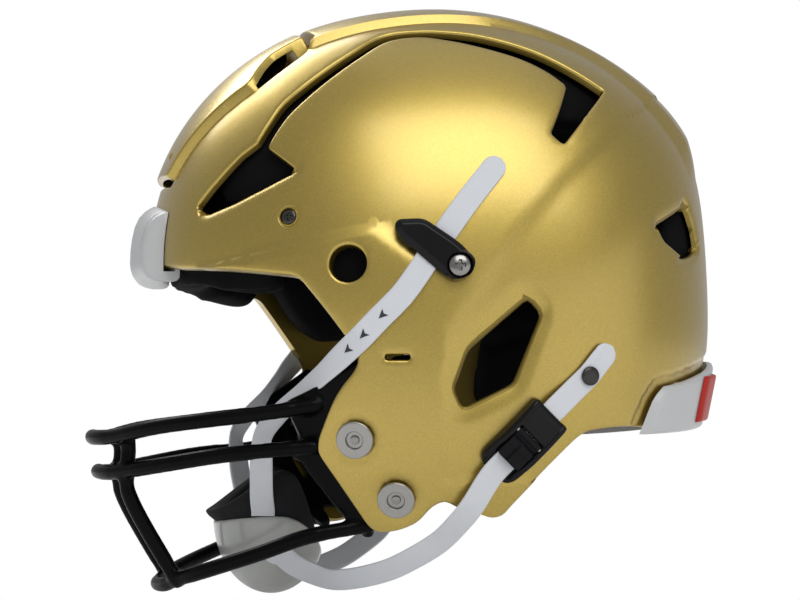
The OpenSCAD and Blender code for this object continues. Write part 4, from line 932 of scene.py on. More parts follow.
class HELMET_OT_shell(bpy.types.Operator):
    """Painted shell with its spine, slots, vents and holes"""
    bl_idname = "helmet.shell"
    bl_label = "Shell"

    def execute(self, context):
        s = context.scene.helmet_sizes
        form = ShellForm(s)
        loops = self.loops(form)
        seam = lambda p: np.hypot(p[:, 0], p[:, 1]) > 89.97
        angles = np.linspace(38, 128, 200)
        creases = [form.disc_ty(angles, form.spine_width(angles) - k)
                   for k in (0, form.spine_bevel(angles))]
        creases += [form.to_disc(spaced(line, 0.9, False)) for line in (RAISED_SIDE[:4], DOME_LINE)]
        fine = Sheet(loops, OUTER_STEP, (0.12, 0.3, 0.55), seam, creases)
        rough = Sheet(loops, INNER_STEP, (), seam)
        drop = arc_round(fine.edge * DISC_SCALE, s.edge_round / MM)
        place = form.disc(fine.uv)
        t = np.degrees(form.ear_polar(place)[0])
        rise = form.spine(t, place[:, 1]) + shell_relief(form, place, fine)
        half = wall_body(Mass(), fine, rough, form.disc(fine.uv, rise - drop),
                         form.disc(rough.uv, -form.wall)).mirror()
        piece = make_piece("shell_painted", half, HELMET, "gold_shell", FINISH["gold"], ("shell",),
                           angle=36, merge=2e-6, inner=FINISH["gold_inside"])
        paint_inside(piece, form)
        seats = lathe(Mass(), form.seat(TEMPLE_AT), SEAT_SECTION, 48, ring=True).mirror()
        make_piece("screw_seats", seats, HELMET, "gold_shell", FINISH["gold"], angle=50)
        return {"FINISHED"}

    def loops(self, form):
        """Outline of the left half on the flat disc, along the centre line and the lower edge,
        and then its holes."""
        front = float(form.level(0, BROW_Z, 0, 200, 150))
        rear = float(form.level(0, NECK_Z, 0, -60, 20))
        arc = lambda a, b: form.disc_ty(np.linspace(a, b, int(abs(a - b) * 2) + 2), 0.0)
        cut = np.vstack([form.disc_ty(np.full(8, CUT_FRONT), np.linspace(0, 26.5, 8)),
                         form.disc_ty(*np.array(PANEL_CUT, float).T),
                         form.disc_ty(np.full(12, float(CUT_REAR)), np.linspace(38, 0, 12))])
        lower = eased(LOWER_EDGE, LOWER_ROUND, closed=False)
        lower = form.to_disc(spaced(lower, 1.0, closed=False))
        outer = np.vstack([arc(front, CUT_FRONT), eased(cut, 1.0, closed=False),
                           arc(CUT_REAR, rear), lower])
        o, ax = form.seat(SMALL_SLOT)
        slot = eased([(-6.2, -1.3), (6.2, -1.3), (6.2, 1.3), (-6.2, 1.3)], 1.2)
        slot = o + slot[:, :1] * ax[0] + slot[:, 1:] * ax[1]
        holes = [eased(EAR_CUT, 2.5), crown_slot(), eased(REAR_VENT, 2.5),
                 *(ring_on(form, *hole) for hole in HOLES), slot[:, [0, 2]]]
        return [snap_to_seam(spaced(outer, 0.8))] + [
            spaced(form.to_disc(spaced(h, 0.4)), 0.6 if k < 3 else 0.3) for k, h in enumerate(holes)]


def snap_to_seam(loop):
    """Points that are all but on the centre line are put on it."""
    r = np.hypot(loop[:, 0], loop[:, 1])
    return np.where((r > 89.9)[:, None], loop / r[:, None] * 90, loop)


def to_line(xz, line):
    p = np.array(line, float)
    return edge_distance(xz, p[:-1], p[1:])


def shell_relief(form, place, sheet):
    """Height of the moulded details over the plain form, each a smooth step over a distance: the
    raised side, the dome's lower limit, the lips of the vents, the dished rim of the ear opening
    and the dishes round the release heads."""
    xz = place[:, [0, 2]]
    ear, slot, rear = (sheet.to_loop[k] * DISC_SCALE for k in (1, 2, 3))
    fade = lambda d, width: np.clip(1 - d / width, 0, 1)
    out = -1.9 * fade(ear, 5.5)
    raised = np.array(RAISED_SIDE, float)
    ramp = [edge_distance(xz, raised[k:k + 1], raised[k + 1:k + 2]) / w
            for k, w in enumerate(RAISED_RAMPS)]
    out += 1.9 * np.where(inside(xz, raised), np.clip(np.min(ramp, axis=0), 0, 1), 0)
    low = np.array(DOME_LINE + [(0, 60), (200, 60), (200, 300)], float)
    out -= 0.8 * smooth_step(-4, 5, np.where(inside(xz, low), 1, -1) * to_line(xz, DOME_LINE))
    out -= 2.2 * fade(slot, 3.6) * (to_line(xz, VENT_LIP) < slot + 1.2)
    for lip in REAR_LIPS:
        out -= 1.9 * fade(rear, 4.5) * (to_line(xz, lip) < rear + 1.2)
    y, z = np.array(BUMPER_TOP, float)
    beside = form.pt(form.level(y, z, 0, -60, 40), y)[:, [0, 2]]
    out -= 1.0 * (1 - smooth_step(4.2, 5.4, to_line(xz, beside)))
    for at in (DISC_UP, DISC_LO):
        out -= 0.9 * (1 - smooth_step(10.2, 14.5, np.linalg.norm(place - form.on(at), axis=1)))
    return out


def paint_inside(piece, form):
    """Gives the faces that look inward, and the depth of the cuts, the unpolished finish, whose darker
    tone is painted shade.
    """
    faces = piece.data.polygons
    c, n = read_vectors(faces, "center") / MM, read_vectors(faces, "normal")
    out = unit(c - [EAR_X, 0, EAR_Z])
    within = ((out * n).sum(1) < -0.3) | (form.depth(c) < -form.wall * 0.55)
    faces.foreach_set("material_index", within.astype(np.int32))


# Right edge of the flex panel by side view angle and width, and millimetres in a degree of it.
PANEL_SIDE = [(151, 26.6), (148, 30.7), (144, 35.1), (140, 39.7), (136, 43.9), (132, 47.6),
              (130.6, 45.9), (128, 39.7), (125.5, 34.8), (122.5, 33.9), (119.4, 33.3)]
PANEL_SCALE, PANEL_WALL = 3.2, 3.6
# Knuckles: side view angles of the rod and of their feet, the rod's depth under the wall, and
# their widths from the middle, half width and radius.
ROD_T, FOOT_T, ROD_DEPTH = 149, 147.5, 9.9
KNUCKLE_Y, KNUCKLE_HALF, KNUCKLE_RADIUS = 14, 5, 3.5


class HELMET_OT_panel(bpy.types.Operator):
    """Flex panel at the front with its knuckles"""
    bl_idname = "helmet.panel"
    bl_label = "Flex panel"

    def execute(self, context):
        s = context.scene.helmet_sizes
        form = ShellForm(s)
        under = s.panel_rise / MM - PANEL_WALL
        right = np.array(PANEL_SIDE) * [PANEL_SCALE, 1]
        loop = np.vstack([right, right[::-1] * [1, -1]])
        loop = spaced(eased(loop, 1.6), 0.9)
        fine = Sheet([loop], 2.2, (0.3, 0.7, 1.2))
        rough = Sheet([loop], 3.0, (0.8, 1.8, 2.6))
        lift = lambda uv, o: form.pt(uv[:, 0] / PANEL_SCALE, uv[:, 1], o)
        top = lift(fine.uv, s.panel_rise / MM - arc_round(fine.edge, 1.0))
        t, y = rough.uv[:, 0] / PANEL_SCALE, np.abs(rough.uv[:, 1])
        deep = np.where((t > 131.2) & (t < 147), 4.6, 0)
        deep = np.where((t > 147) & (y > 20), 2.6, deep)
        deep = np.where(t < 122, 7.5, deep)
        skirt = deep * (1 - smooth_step(1.4, 2.2, rough.edge))
        m = wall_body(Mass(), fine, rough, top, lift(rough.uv, under - skirt))
        rod = form.pt(ROD_T, 0, -form.wall - ROD_DEPTH)
        for y in (-KNUCKLE_Y, KNUCKLE_Y):
            self.knuckle(m, rod, form.pt(FOOT_T, y, under + 0.8), y)
        make_piece("flex_panel_painted", m, "flex_panel", "gold_shell", FINISH["gold"],
                   ("front_flex_panel",), angle=50)
        dress(FINISH["rod"], "panel_hinge_rod")
        dress(FINISH["plastic"], "panel_hinge_brackets")
        return {"FINISHED"}

    def knuckle(self, mass, rod, foot, y):
        """Arm from the rod to the panel: half a circle round the rod, and a tapered block over it."""
        arm = np.array([foot[0] - rod[0], 0, foot[2] - rod[2]])
        reach = np.linalg.norm([arm[0], arm[2]])
        arm = unit(arm)
        side = np.array([arm[2], 0, -arm[0]])
        a = around(32)
        over = (np.sin(a) > 0)[:, None]
        ring = (polar(a)[:, :1] * side + polar(a)[:, 1:] * arm) * KNUCKLE_RADIUS
        ring = np.where(over, (ring + arm * reach) * [0.85, 1, 0.85] + 0.15 * arm * reach, ring)
        ends = [[rod[0], y + k, rod[2]] + ring for k in (-KNUCKLE_HALF, KNUCKLE_HALF)]
        mass.grid(np.stack(ends), wrap_v=True, ends=True)


# ---------------------------------------------------------------- bumpers

# Section of the brow bumper: height and offset from the shell.
BROW_SECTION = [(202.2, 0.35), (202.1, 1.6), (201.3, 3.2), (199.5, 5.6), (196.1, 8.2), (191.7, 9.6),
                (185.7, 10.3), (179.7, 10.6), (173.7, 10.6), (171.2, 10.3), (168.4, 9.4),
                (165.6, 7.4), (164.1, 4.6), (163.6, 1.0), (163.6, -3.6), (164.3, -6.2),
                (165.8, -7.5), (168.2, -7.8), (172.2, -7.7), (173.2, -7.2), (173.2, -6.2),
                (172.6, -5.6), (169.2, -5.6), (169, -5.2), (169, 0.35), (175.2, 0.35),
                (181.2, 0.35), (187.7, 0.35), (194.7, 0.35)]
BROW_HALF, SLIT_AT, SLIT_WIDTH = 34.0, 0.855, 0.014
# Lower edge of the neck bumper: widths, and the height at each.
BUMPER_LOW = (0, 30, 67, 100), (89, 88, 85.3, 83)
NECK_HALF, NECK_THICK = 100, 3.6
PLATE_HALF, PLATE_TOP, PLATE_LOW, PLATE_THICK, PLATE_SLOPE = 68.4, 115.5, 92, 2.0, 0.056


class HELMET_OT_bumpers(bpy.types.Operator):
    """Brow bumper, neck bumper and its raised plate"""
    bl_idname = "helmet.bumpers"
    bl_label = "Bumpers"

    def execute(self, context):
        form = ShellForm(context.scene.helmet_sizes)
        self.brow(form)
        self.neck(form)
        self.plate(form)
        dress(FINISH["rod"], "rear_bumper_screws")
        return {"FINISHED"}

    def brow(self, form):
        """A section of height and offset from the shell, carried across the brow."""
        z0, o0 = np.array(BROW_SECTION).T[:, None]
        edge = np.array([0, 0.004, 0.02, 0.05, 0.09, 0.125, 0.137, 0.145, 0.153, 0.165, 0.18])
        c = np.concatenate([-1 + edge, np.linspace(-0.78, 0.78, 41), 1 - edge[::-1]])[:, None]
        e = 1 - arc_round((1 - np.abs(c)) * BROW_HALF, 3.0) / 3.0 * 0.5
        slit = np.exp(-((np.abs(c) - SLIT_AT) / SLIT_WIDTH) ** 2)
        z = z0 - 2.8 * np.abs(c) - np.where(z0 > 185, 3 * c ** 2, 0)
        o = np.where(o0 > 1, np.maximum(0.35, o0 * e), o0)
        o = o - 2.2 * slit * smooth_step(183, 188, z0) * (o0 > 5)
        y = np.broadcast_to(c * BROW_HALF, z.shape)
        m = Mass().grid(form.pt(form.level(y, z, o, 200, 120), y, o), wrap_v=True, ends=True)
        make_piece("brow_bumper", m, HELMET, "white_plastic", FINISH["bumper"], ("front_bumper",),
                   angle=60)

    def rear_slab(self, form, y, z, low, high):
        """Closed plate over widths and heights between two offsets from the shell."""
        return Mass().slab(*(form.pt(form.level(y, z, o, -60, 40), y, o) for o in (high, low)))

    def neck(self, form):
        """A plate from side to side on the shell's lower rear edge, thin at its ends."""
        edge = np.array([0, 0.4, 1.0, 2.0, 3.5])
        y = np.concatenate([-NECK_HALF + edge, np.linspace(-94, 94, 63),
                            NECK_HALF - edge[::-1]])[:, None]
        v = np.concatenate([[0, 0.02, 0.05, 0.09, 0.14], np.linspace(0.2, 0.8, 8),
                            [0.86, 0.91, 0.95, 0.98, 1]])
        top, low = (np.interp(np.abs(y), *line) for line in (BUMPER_TOP, BUMPER_LOW))
        z, w = top + v * (low - top), top - low
        d = np.minimum(np.minimum(v * w, (1 - v) * w), NECK_HALF - np.abs(y) + 0.2)
        thick = NECK_THICK - arc_round(d, 2.2) * 0.9
        m = self.rear_slab(form, np.broadcast_to(y, z.shape), z, SEAT + 0.1, SEAT + thick)
        make_piece("neck_bumper", m, HELMET, "white_plastic", FINISH["bumper"], ("rear_bumper",),
                   angle=50)

    def plate(self, form):
        """Raised plate on the neck bumper, with its edges rounded."""
        z = np.concatenate([[PLATE_TOP, 115.3, 114.9, 114.3], np.linspace(113, 94.5, 9),
                            [93.2, 92.6, 92.2, PLATE_LOW]])
        y, z = np.meshgrid(np.linspace(-PLATE_HALF, PLATE_HALF, 61), z, indexing="ij")
        o = SEAT + NECK_THICK + 0.25
        d = np.minimum(np.minimum(PLATE_TOP - z, z - PLATE_LOW), PLATE_HALF - np.abs(y))
        t = PLATE_THICK - arc_round(d, 1.1)
        m = self.rear_slab(form, y, z + (1.2 - PLATE_SLOPE * np.abs(y)), o, o + t)
        make_piece("neck_bumper_plate", m, HELMET, "red_plastic", FINISH["plate"],
                   ("rear_bumper_plate",), angle=50)


# ---------------------------------------------------------------- guard

# Centre lines of the bars' left halves, and of the side bar in the side view.
GUARD_TOP = [(-164.5, 0, 82), (-162.5, -16, 81.6), (-155.1, -32, 82.2), (-135.6, -58, 86.8),
             (-110.7, -78, 90.3), (-84.8, -89.5, 93.4), (-59.9, -94.5, 97.3)]
GUARD_MID = [(-161.4, 0, 64.2), (-158.9, -16, 63.7), (-151.5, -32, 64.3), (-131.6, -57, 68),
             (-105.7, -77, 72.5), (-81.8, -87.5, 75.1), (-60.9, -92.3, 76.9)]
GUARD_LOW = [(-130.2, 0, 6), (-128.2, -16, 6.5), (-122.8, -32, 9.6), (-107.4, -54, 15.8),
             (-85.6, -72, 23.9), (-62.8, -82, 32.4), (-36, -85, 37.6)]
UPRIGHT = [(-148.6, -32, 83.8), (-148, -32, 75.3), (-148.9, -32, 57.9), (-145.9, -32, 48.5),
           (-126.8, -32, 15), (-122.8, -32, 8.6)]
SIDE_RUN = [(-39.4, 117), (-46.9, 109.6), (-55.8, 101.4), (-61.2, 90.2), (-64.2, 78.4), (-62.6, 71.1),
            (-53.6, 58.6), (-42.5, 44.8), (-32.5, 35)]
# Side plate between the bars' ends and the shell.
WEB = [(-39.6, 120.2), (-47.1, 115.4), (-54.1, 110.5), (-63.2, 104.7), (-74.6, 98.9), (-69.2, 86.6),
       (-65.7, 79.4), (-71.9, 72.8), (-60.6, 66.4), (-43.4, 41.2), (-34.4, 33.3), (-28.5, 35.8),
       (-53.1, 75.3), (-53.4, 82.2), (-44.6, 102.2), (-34.4, 118.2)]
# Places where bars meet. The upright's three come first.
WELDS = [(-151.2, -32, 82.2), (-148.4, -32, 64.3), (-122.8, -32, 9.6), (-84.8, -89.5, 93.4),
         (-81.8, -87.5, 75.1), (-47, -88, 35), (-62, -96, 78), (-62, -96, 98)]
TAB_RADIUS, TAB_THICK, WEB_THICK, GUARD_GAP = 8.5, 3, 6.4, 0.8
TABS = ((DISC_UP, DISC_LO), ((-53, 79), DISC_UP), ((-38, 52), DISC_LO))


def stadium(a, b, r, n=14):
    """Outline of two circles of radius r joined by straight sides, in the side view."""
    a, b = np.array(a, float), np.array(b, float)
    k = math.atan2(*(b - a)[::-1])
    return np.vstack([at + r * polar(np.linspace(k + start, k + start + math.pi, n))
                      for at, start in ((a, math.pi / 2), (b, -math.pi / 2))])


class HELMET_OT_guard(bpy.types.Operator):
    """Face guard of coated bars with its side brackets"""
    bl_idname = "helmet.guard"
    bl_label = "Face guard"

    def execute(self, context):
        s = context.scene.helmet_sizes
        form = ShellForm(s)
        d = s.bar / MM
        m, half = Mass(), Mass()
        for run in (GUARD_TOP, GUARD_MID, GUARD_LOW):
            p = np.array(run, float)
            tube(m, flow(np.vstack([p[:0:-1] * [1, -1, 1], p]), 8), d + 0.6)
        tube(half, flow(UPRIGHT, 8), d + 0.6, (0, 1, 0))
        for at in WELDS[:3]:
            tube(half, np.array([at, at]) + [[0, -0.4, 0], [0, 0.4, 0]], d + 1.9)
        top = -form.wall - GUARD_GAP
        tube(half, flow(form.on(SIDE_RUN, top - d / 2), 6), d - 0.5, (0, 1, 0))
        plates = [(stadium(a, b, TAB_RADIUS), TAB_THICK) for a, b in TABS]
        plates.append((eased(WEB, 3.0), WEB_THICK))
        for loop, thick in plates:
            area = Sheet([spaced(loop, 1.6)], 2.4)
            wall_body(half, area, area, form.on(area.uv, top), form.on(area.uv, top - thick))
        half.mirror()
        m.add(np.vstack(half.v), half.f)
        piece = make_piece("face_guard_coated", m, HELMET, "coated_steel", FINISH["guard"],
                           ("face_guard",), angle=180)
        knots = np.array(WELDS) * MM
        fuse(piece, 0.95, np.vstack([knots, knots * [1, -1, 1]]), 0.013)
        return {"FINISHED"}


def averaged(mesh, rounds, weight):
    """Points of a mesh after each has moved a share of the way to its neighbours' middle."""
    v = read_points(mesh)
    e = np.zeros(len(mesh.edges) * 2, int)
    mesh.edges.foreach_get("vertices", e)
    a, b = e.reshape(-1, 2).T
    a, b = np.concatenate([a, b]), np.concatenate([b, a])
    count = np.maximum(np.bincount(a, minlength=len(v)), 1)
    for k in range(rounds):
        mid = np.stack([np.bincount(a, v[b, i], len(v)) for i in range(3)], 1) / count[:, None]
        v = v + (mid - v) * weight(k)[:, None]
    return v


def remeshed(piece, voxel):
    """Puts one even skin round a piece's bodies, and applies it."""
    r = piece.modifiers.new("joined", "REMESH")
    r.mode, r.voxel_size, r.use_smooth_shade = "VOXEL", voxel * MM, True
    apply_modifiers(piece)


def apply_modifiers(piece):
    graph = bpy.context.evaluated_depsgraph_get()
    done = bpy.data.meshes.new_from_object(piece.evaluated_get(graph))
    piece.modifiers.clear()
    merge_doubles(piece.data, done, dist=0)
    bpy.data.meshes.remove(done)
    shade_smooth(piece.data)


def fuse(piece, voxel, knots, reach):
    """Joins overlapping bodies into one skin and eases it, most of all round the welds."""
    remeshed(piece, voxel)
    v = read_points(piece.data)
    d = np.full(len(v), 1.0)
    for k in knots:
        d = np.minimum(d, np.linalg.norm(v - k, axis=1))
    near = 0.5 * (1 - smooth_step(reach * 0.6, reach, d))
    all_over = np.full(len(v), 0.5)
    set_points(piece.data, averaged(piece.data, 16, lambda k: near if k > 3 else all_over))


# ---------------------------------------------------------------- chin cup

# Middle of the cup's widest level, the half axes of its egg, and the wall.
CUP_AT = np.array([-71.5, 0.0, 40.0])
CUP_RX, CUP_RZ, CUP_HALF, CUP_WALL = 30.0, 39.5, 41.0, 2.4


def cup_point(u, v, o):
    """Half an egg: u turns round it and v runs from its bottom, 0, to its widest level, 90;
    above that its side runs straight up."""
    u, v, o = np.broadcast_arrays(np.asarray(u, float), np.asarray(v, float), o)
    w, turn = np.radians(np.minimum(v, 90)), np.radians(u)
    return CUP_AT + np.stack([(CUP_RX + o) * np.sin(w) * np.cos(turn),
                              (CUP_HALF + o) * np.sin(w) * np.sin(turn),
                              -(CUP_RZ + o) * np.cos(w) + np.maximum(0, v - 90) * 0.7], -1)


def cup_normal(u, v):
    u, v = np.radians(u), np.radians(v)
    return unit(np.stack([np.cos(u) * np.sin(v) / CUP_RX, np.sin(u) * np.sin(v) / CUP_HALF,
                          -np.cos(v) / CUP_RZ], -1))


def cup_rim(u):
    """Level of the hard cup's rim: a little up at the sides, and down at the back."""
    u = np.radians(u)
    return 88 + 4 * np.abs(np.sin(u)) ** 2 - 28 * np.maximum(0, np.cos(u)) ** 2


def cup_raise(u):
    """Rise of the foam over the hard cup: little at the front, most at the sides."""
    c = np.cos(np.radians(u))
    return 7 + 27 * smooth_step(-1.0, 0.1, c) * (1 - smooth_step(0.3, 0.9, c))


class HELMET_OT_cup(bpy.types.Operator):
    """Hard chin cup and the foam inside it"""
    bl_idname = "helmet.cup"
    bl_label = "Chin cup"

    def execute(self, context):
        self.bowl("chin_cup_hard", 0.0, CUP_WALL, 0.0, 1.1, "grey_cup", FINISH["cup"], "chin_cup_shell")
        pad = self.bowl("chin_cup_foam", -CUP_WALL - SEAT, 8, 1.0, 3.4, "cup_foam", FINISH["foam"],
                        "chin_cup_pad")
        return {"FINISHED"}

    def bowl(self, name, o1, wall, add, edge, slot, finish, node):
        """Outer and inner bowl joined over a rounded rim, which add raises and leans forward."""
        u, o2 = np.linspace(0, 360, 96, endpoint=False), o1 - wall
        top = cup_rim(u) + add * cup_raise(u)
        s = np.concatenate([np.linspace(0.02, 0.9, 22),
                            1 - np.array([0.07, 0.045, 0.025, 0.012, 0.004, 0])])
        v = s[:, None] * top[None]
        d = (top[None] - v) * 0.62
        k = arc_round(d, edge)
        a = cup_point(u[None], v, o1 - k)
        b = cup_point(u[None], v, o2 + np.minimum(k, (o1 - o2) / 2 - 0.02))
        over = np.clip((v - cup_rim(u)[None] + 3) / (cup_raise(u)[None] + 3), 0, 1)
        front = add * smooth_step(0.0, 1, -np.cos(np.radians(u)))[None] * over
        a, b = a - np.multiply.outer(front, [9, 0, -0.5]), b - np.multiply.outer(front, [6, 0, -1])
        m = Mass().grid(np.vstack([a, b[::-1]]), wrap_v=True, ends=True)
        return make_piece(name, m, HELMET, slot, finish, (node,), angle=60)


# ---------------------------------------------------------------- straps

# Buckle: its middle in the side view and its turn, and the ends of its line.
BUCKLE_AT, BUCKLE_TURN = (38, 79.4), 46.2
BUCKLE_ENDS = (52, 94.1), (24.1, 64.9)
# Strap paths: places on the shell by x and z, then free points, and the way the face looks there.
UPPER_ON = [(29.7, 219), (24.2, 212.2), (13.3, 198.9), (3.6, 185.9), (-6.1, 172.2), (-12.2, 163.2),
            (-21.2, 150.7), (-31.6, 139.9), (-40.4, 130.4)]
UPPER_FREE = [(-50, -105.5, 120.3), (-57.5, -96, 112.3), (-66, -83, 103.2), (-75.5, -75, 93.9),
              (-82.6, -67, 84), (-83, -58.5, 73), (-82.2, -50, 60)]
UPPER_FACE = [(-0.56, -0.8, 0), (-0.86, -0.48, 0.1), (-0.9, -0.4, 0.12), (-0.84, -0.52, 0.1),
              (-0.7, -0.7, 0.1), (-0.4, -0.9, 0.15), (-0.3, -0.95, 0.15), (-0.2, -0.97, 0.15),
              (-0.18, -0.98, 0), (-0.18, -0.98, 0)]
ANCHOR_ON = [(84.4, 126.4), (77.9, 118.8), (71.9, 111.7), (65.9, 106.1)]
LOWER_FREE = [(13.8, -114.5, 47.6), (8.8, -110, 40.4), (0.9, -99.5, 30.5), (-11, -91, 22),
              (-24, -81, 15.1), (-45.3, -61, 10.1), (-55.7, -49.5, 12.7), (-63.7, -42.5, 16.5)]
LOWER_FACE = [(0.05, -1, -0.1), (0.05, -0.98, -0.15), (0.05, -0.97, -0.2), (0.05, -0.96, -0.25),
              (0, -0.94, -0.3), (-0.02, -0.92, -0.35), (0, -0.93, -0.35), (0, -0.92, -0.38)]
# The straps lie close to the shell, rise over the clip and run through the buckle at its lift.
STRAP_GAP, CLIP_RISE, STRAP_LIFT = 0.35, 1.9, 3.55
RISE_FROM, RISE_OVER, CUP_SIDE = 176, 14, -107
ARROWS = [(-30.4, 141.2), (-39.4, 132), (-47.3, 124)]
ARROWHEAD = [(2.7, 0), (-1.9, 2.2), (-0.8, 0), (-1.9, -2.2)]


class HELMET_OT_straps(bpy.types.Operator):
    """Chin straps and the short straps that anchor them"""
    bl_idname = "helmet.straps"
    bl_label = "Straps"

    def execute(self, context):
        s = context.scene.helmet_sizes
        form = ShellForm(s)
        self.width, self.thick = s.strap_width / MM, s.strap_thickness / MM
        close = STRAP_GAP + self.thick / 2
        self.upper(form, close)
        o, n = form.on(BUCKLE_AT), form.side_normal(BUCKLE_AT)
        d = unit(form.on(BUCKLE_ENDS[0]) - form.on(BUCKLE_ENDS[1]))
        through = lambda *places: [o + k * d + STRAP_LIFT * n for k in places]
        p = flow(np.vstack([form.on(ANCHOR_ON, close), through(21.5, 12, 5)]), 8)
        self.pair("anchor_strap", p, form.side_normal(p[:, [0, 2]]), True, False)
        end = [(u, 64) for u in (-91, -106)]
        cup = [cup_point(*k, 0.5 + self.thick / 2) for k in end]
        p = flow(np.vstack([through(3, -8, -21.5), LOWER_FREE, cup]), 6)
        f = unit(flow(np.vstack([[n, n, n], LOWER_FACE, [cup_normal(*k) for k in end]]), 6))
        self.pair("lower_strap", p, f, False, True)
        return {"FINISHED"}

    def upper(self, form, close):
        """From the top end down the shell, under the clip and on to the cup's rim."""
        xz = flow(UPPER_ON, 6)
        on = form.on(xz, close + CLIP_RISE * smooth_step(0, 1, (RISE_FROM - xz[:, 1]) / RISE_OVER))
        end = cup_point(CUP_SIDE, cup_rim(CUP_SIDE), -CUP_WALL / 2) + [0, 0, SEAT + 0.1]
        tail = np.vstack([UPPER_FREE, end + [-0.8, -1.8, 8], end + [0, 0, 2.6], end])
        path = flow(np.vstack([on[::3], tail]), 5)
        turn = unit(flow(np.vstack([form.side_normal(xz)[::3], UPPER_FACE]), 5))
        self.pair("upper_strap", path, turn, True, False)
        self.arrows(path, turn)

    def arrows(self, path, face):
        """Three dark arrowheads printed along each upper strap."""
        along, side, out = frames(path, face=face)
        m = Mass()
        loop = np.array(ARROWHEAD)
        for at in ARROWS:
            i = int(np.argmin(np.hypot(path[:, 0] - at[0], path[:, 2] - at[1])))
            p = (path[i] + out[i] * (self.thick / 2 + 0.04) + loop[:, :1] * along[i]
                 + loop[:, 1:] * side[i])
            m.grid(np.stack([p - out[i] * 0.12, p + out[i] * 0.05]), wrap_v=True, ends=True)
        make_piece("strap_arrows", m.mirror(), HELMET, "white_webbing", FINISH["print"], angle=30)

    def pair(self, name, path, face, start, end):
        m = ribbon(Mass(), path, face, self.width, self.thick, start, end)
        make_pair(name, "woven", m, HELMET, "white_webbing", FINISH["webbing"], angle=50)


# ---------------------------------------------------------------- fasteners

# Sections of turned bodies: radius and height over the shell.
PIN_SECTION = [(0.02, -8.3), (2.0, -8.3), (2.3, -8.0), (2.3, 1.5), (2.15, 1.8), (1.7, 2.0), (0.02, 2.0)]
RIVET_SECTION = [(0.02, -5.9), (4.8, -5.9), (5, -5.7), (5, -4.9), (4.8, -4.7), (2, -4.7), (2, 2.4),
                 (4.5, 2.4), (4.75, 2.6), (4.72, 3.0), (4.5, 3.4), (4, 3.75), (3.2, 4.05), (2, 4.3),
                 (1, 4.38), (0.02, 4.4)]


class HELMET_OT_fasteners(bpy.types.Operator):
    """Release heads and pins, clip and temple screws, rivets and the nuts inside"""
    bl_idname = "helmet.fasteners"
    bl_label = "Fasteners"

    def execute(self, context):
        s = context.scene.helmet_sizes
        form = ShellForm(s)
        r = s.release_head / MM / 2
        section = [(5.5, -10.2), (5.5, 0.4), (r - 0.5, 0.45), (r - 0.15, 0.6), (r, 0.95), (r, 1.9),
                   (r - 0.15, 2.25), (r - 0.5, 2.5), (r - 1.0, 2.6), (r - 1.3, 2.55), (5.6, 2.5),
                   (4.9, 2.62), (4.5, 2.5), (4.2, 2.1), (4.1, 1.0), (2.36, 0.95), (2.36, -10.2)]
        upper, lower, heads = form.seat(DISC_UP), form.seat(DISC_LO), Mass()
        for seat in (upper, lower):
            lathe(heads, seat, section, 64)
        make_piece("release_heads_turned", heads.mirror(), HELMET, "steel", FINISH["steel"],
                   ("release_heads",), angle=35)
        for stem, seat in (("plunger_upper", upper), ("plunger_lower", lower)):
            make_pair(stem, "pin", lathe(Mass(), seat, PIN_SECTION, 40), None, "steel",
                      FINISH["bright"])
        clip = domed_head(Mass(), form.seat(CLIP_AT), 5.75, 5.1, 2.1, (2.8, 1.3, 1.4), (2.4, -9))
        temple = domed_head(Mass(), form.seat(TEMPLE_AT), 3.6, -0.8, 0.8, (2, 1, 0.8), (2, -8))
        rivet = lathe(Mass(), form.seat(RIVET_AT), RIVET_SECTION, 64)
        for node, m, slot, key in (("clip_screws", clip, "steel", "bright"),
                                   ("temple_screws", temple, "dark_metal", "smoked"),
                                   ("anchor_rivets", rivet, "dark_metal", "dark")):
            make_piece(node + "_domed", m.mirror(), HELMET, slot, FINISH[key], (node,), angle=40)
        dress(FINISH["rod"], "release_nuts", "clip_nuts", "temple_nuts", "buckle_pins")
        return {"FINISHED"}


# Clip: its middle, outline and corners, and the heights of clip and buckle over their seats.
CLIP_MID = (-4.1, 172.5)
CLIP_LOOP = [(-20.5, 11.5), (-19, 15), (-6, 15.5), (11.5, 3.5), (19.5, -5), (17, -13), (9, -16),
             (3, -12.5), (-9.5, -1.5), (-17.5, 5)]
CLIP_ROUND = [3, 3.5, 3.5, 4, 4.5, 4.5, 4, 3, 3, 3]
CLIP_TOP, BOSS_RADIUS, FLOOR_TOP, LEVER_TOP = 5.85, 7.9, 2.5, 8.2
# Channel of the clip: its place and turn, half width and height.
CLIP_CHANNEL, CHANNEL_HALF, CHANNEL_TOP = ((-9.1, 172.4), 49), 6.5, 3.0
# Buckle: length, width and the rails' width; height of the rails along it; the lever's pin.
BUCKLE_LONG, BUCKLE_WIDE, RAIL = 41.0, 22.0, 3.4
RAIL_TOP = [(-20.5, 0.6), (-19.5, 3.4), (-4, 8.4), (8, 8.4), (17.5, 7.4), (20.5, 5.8)]
PIN_AT, PIN_D = (3, 6.5), 2.4


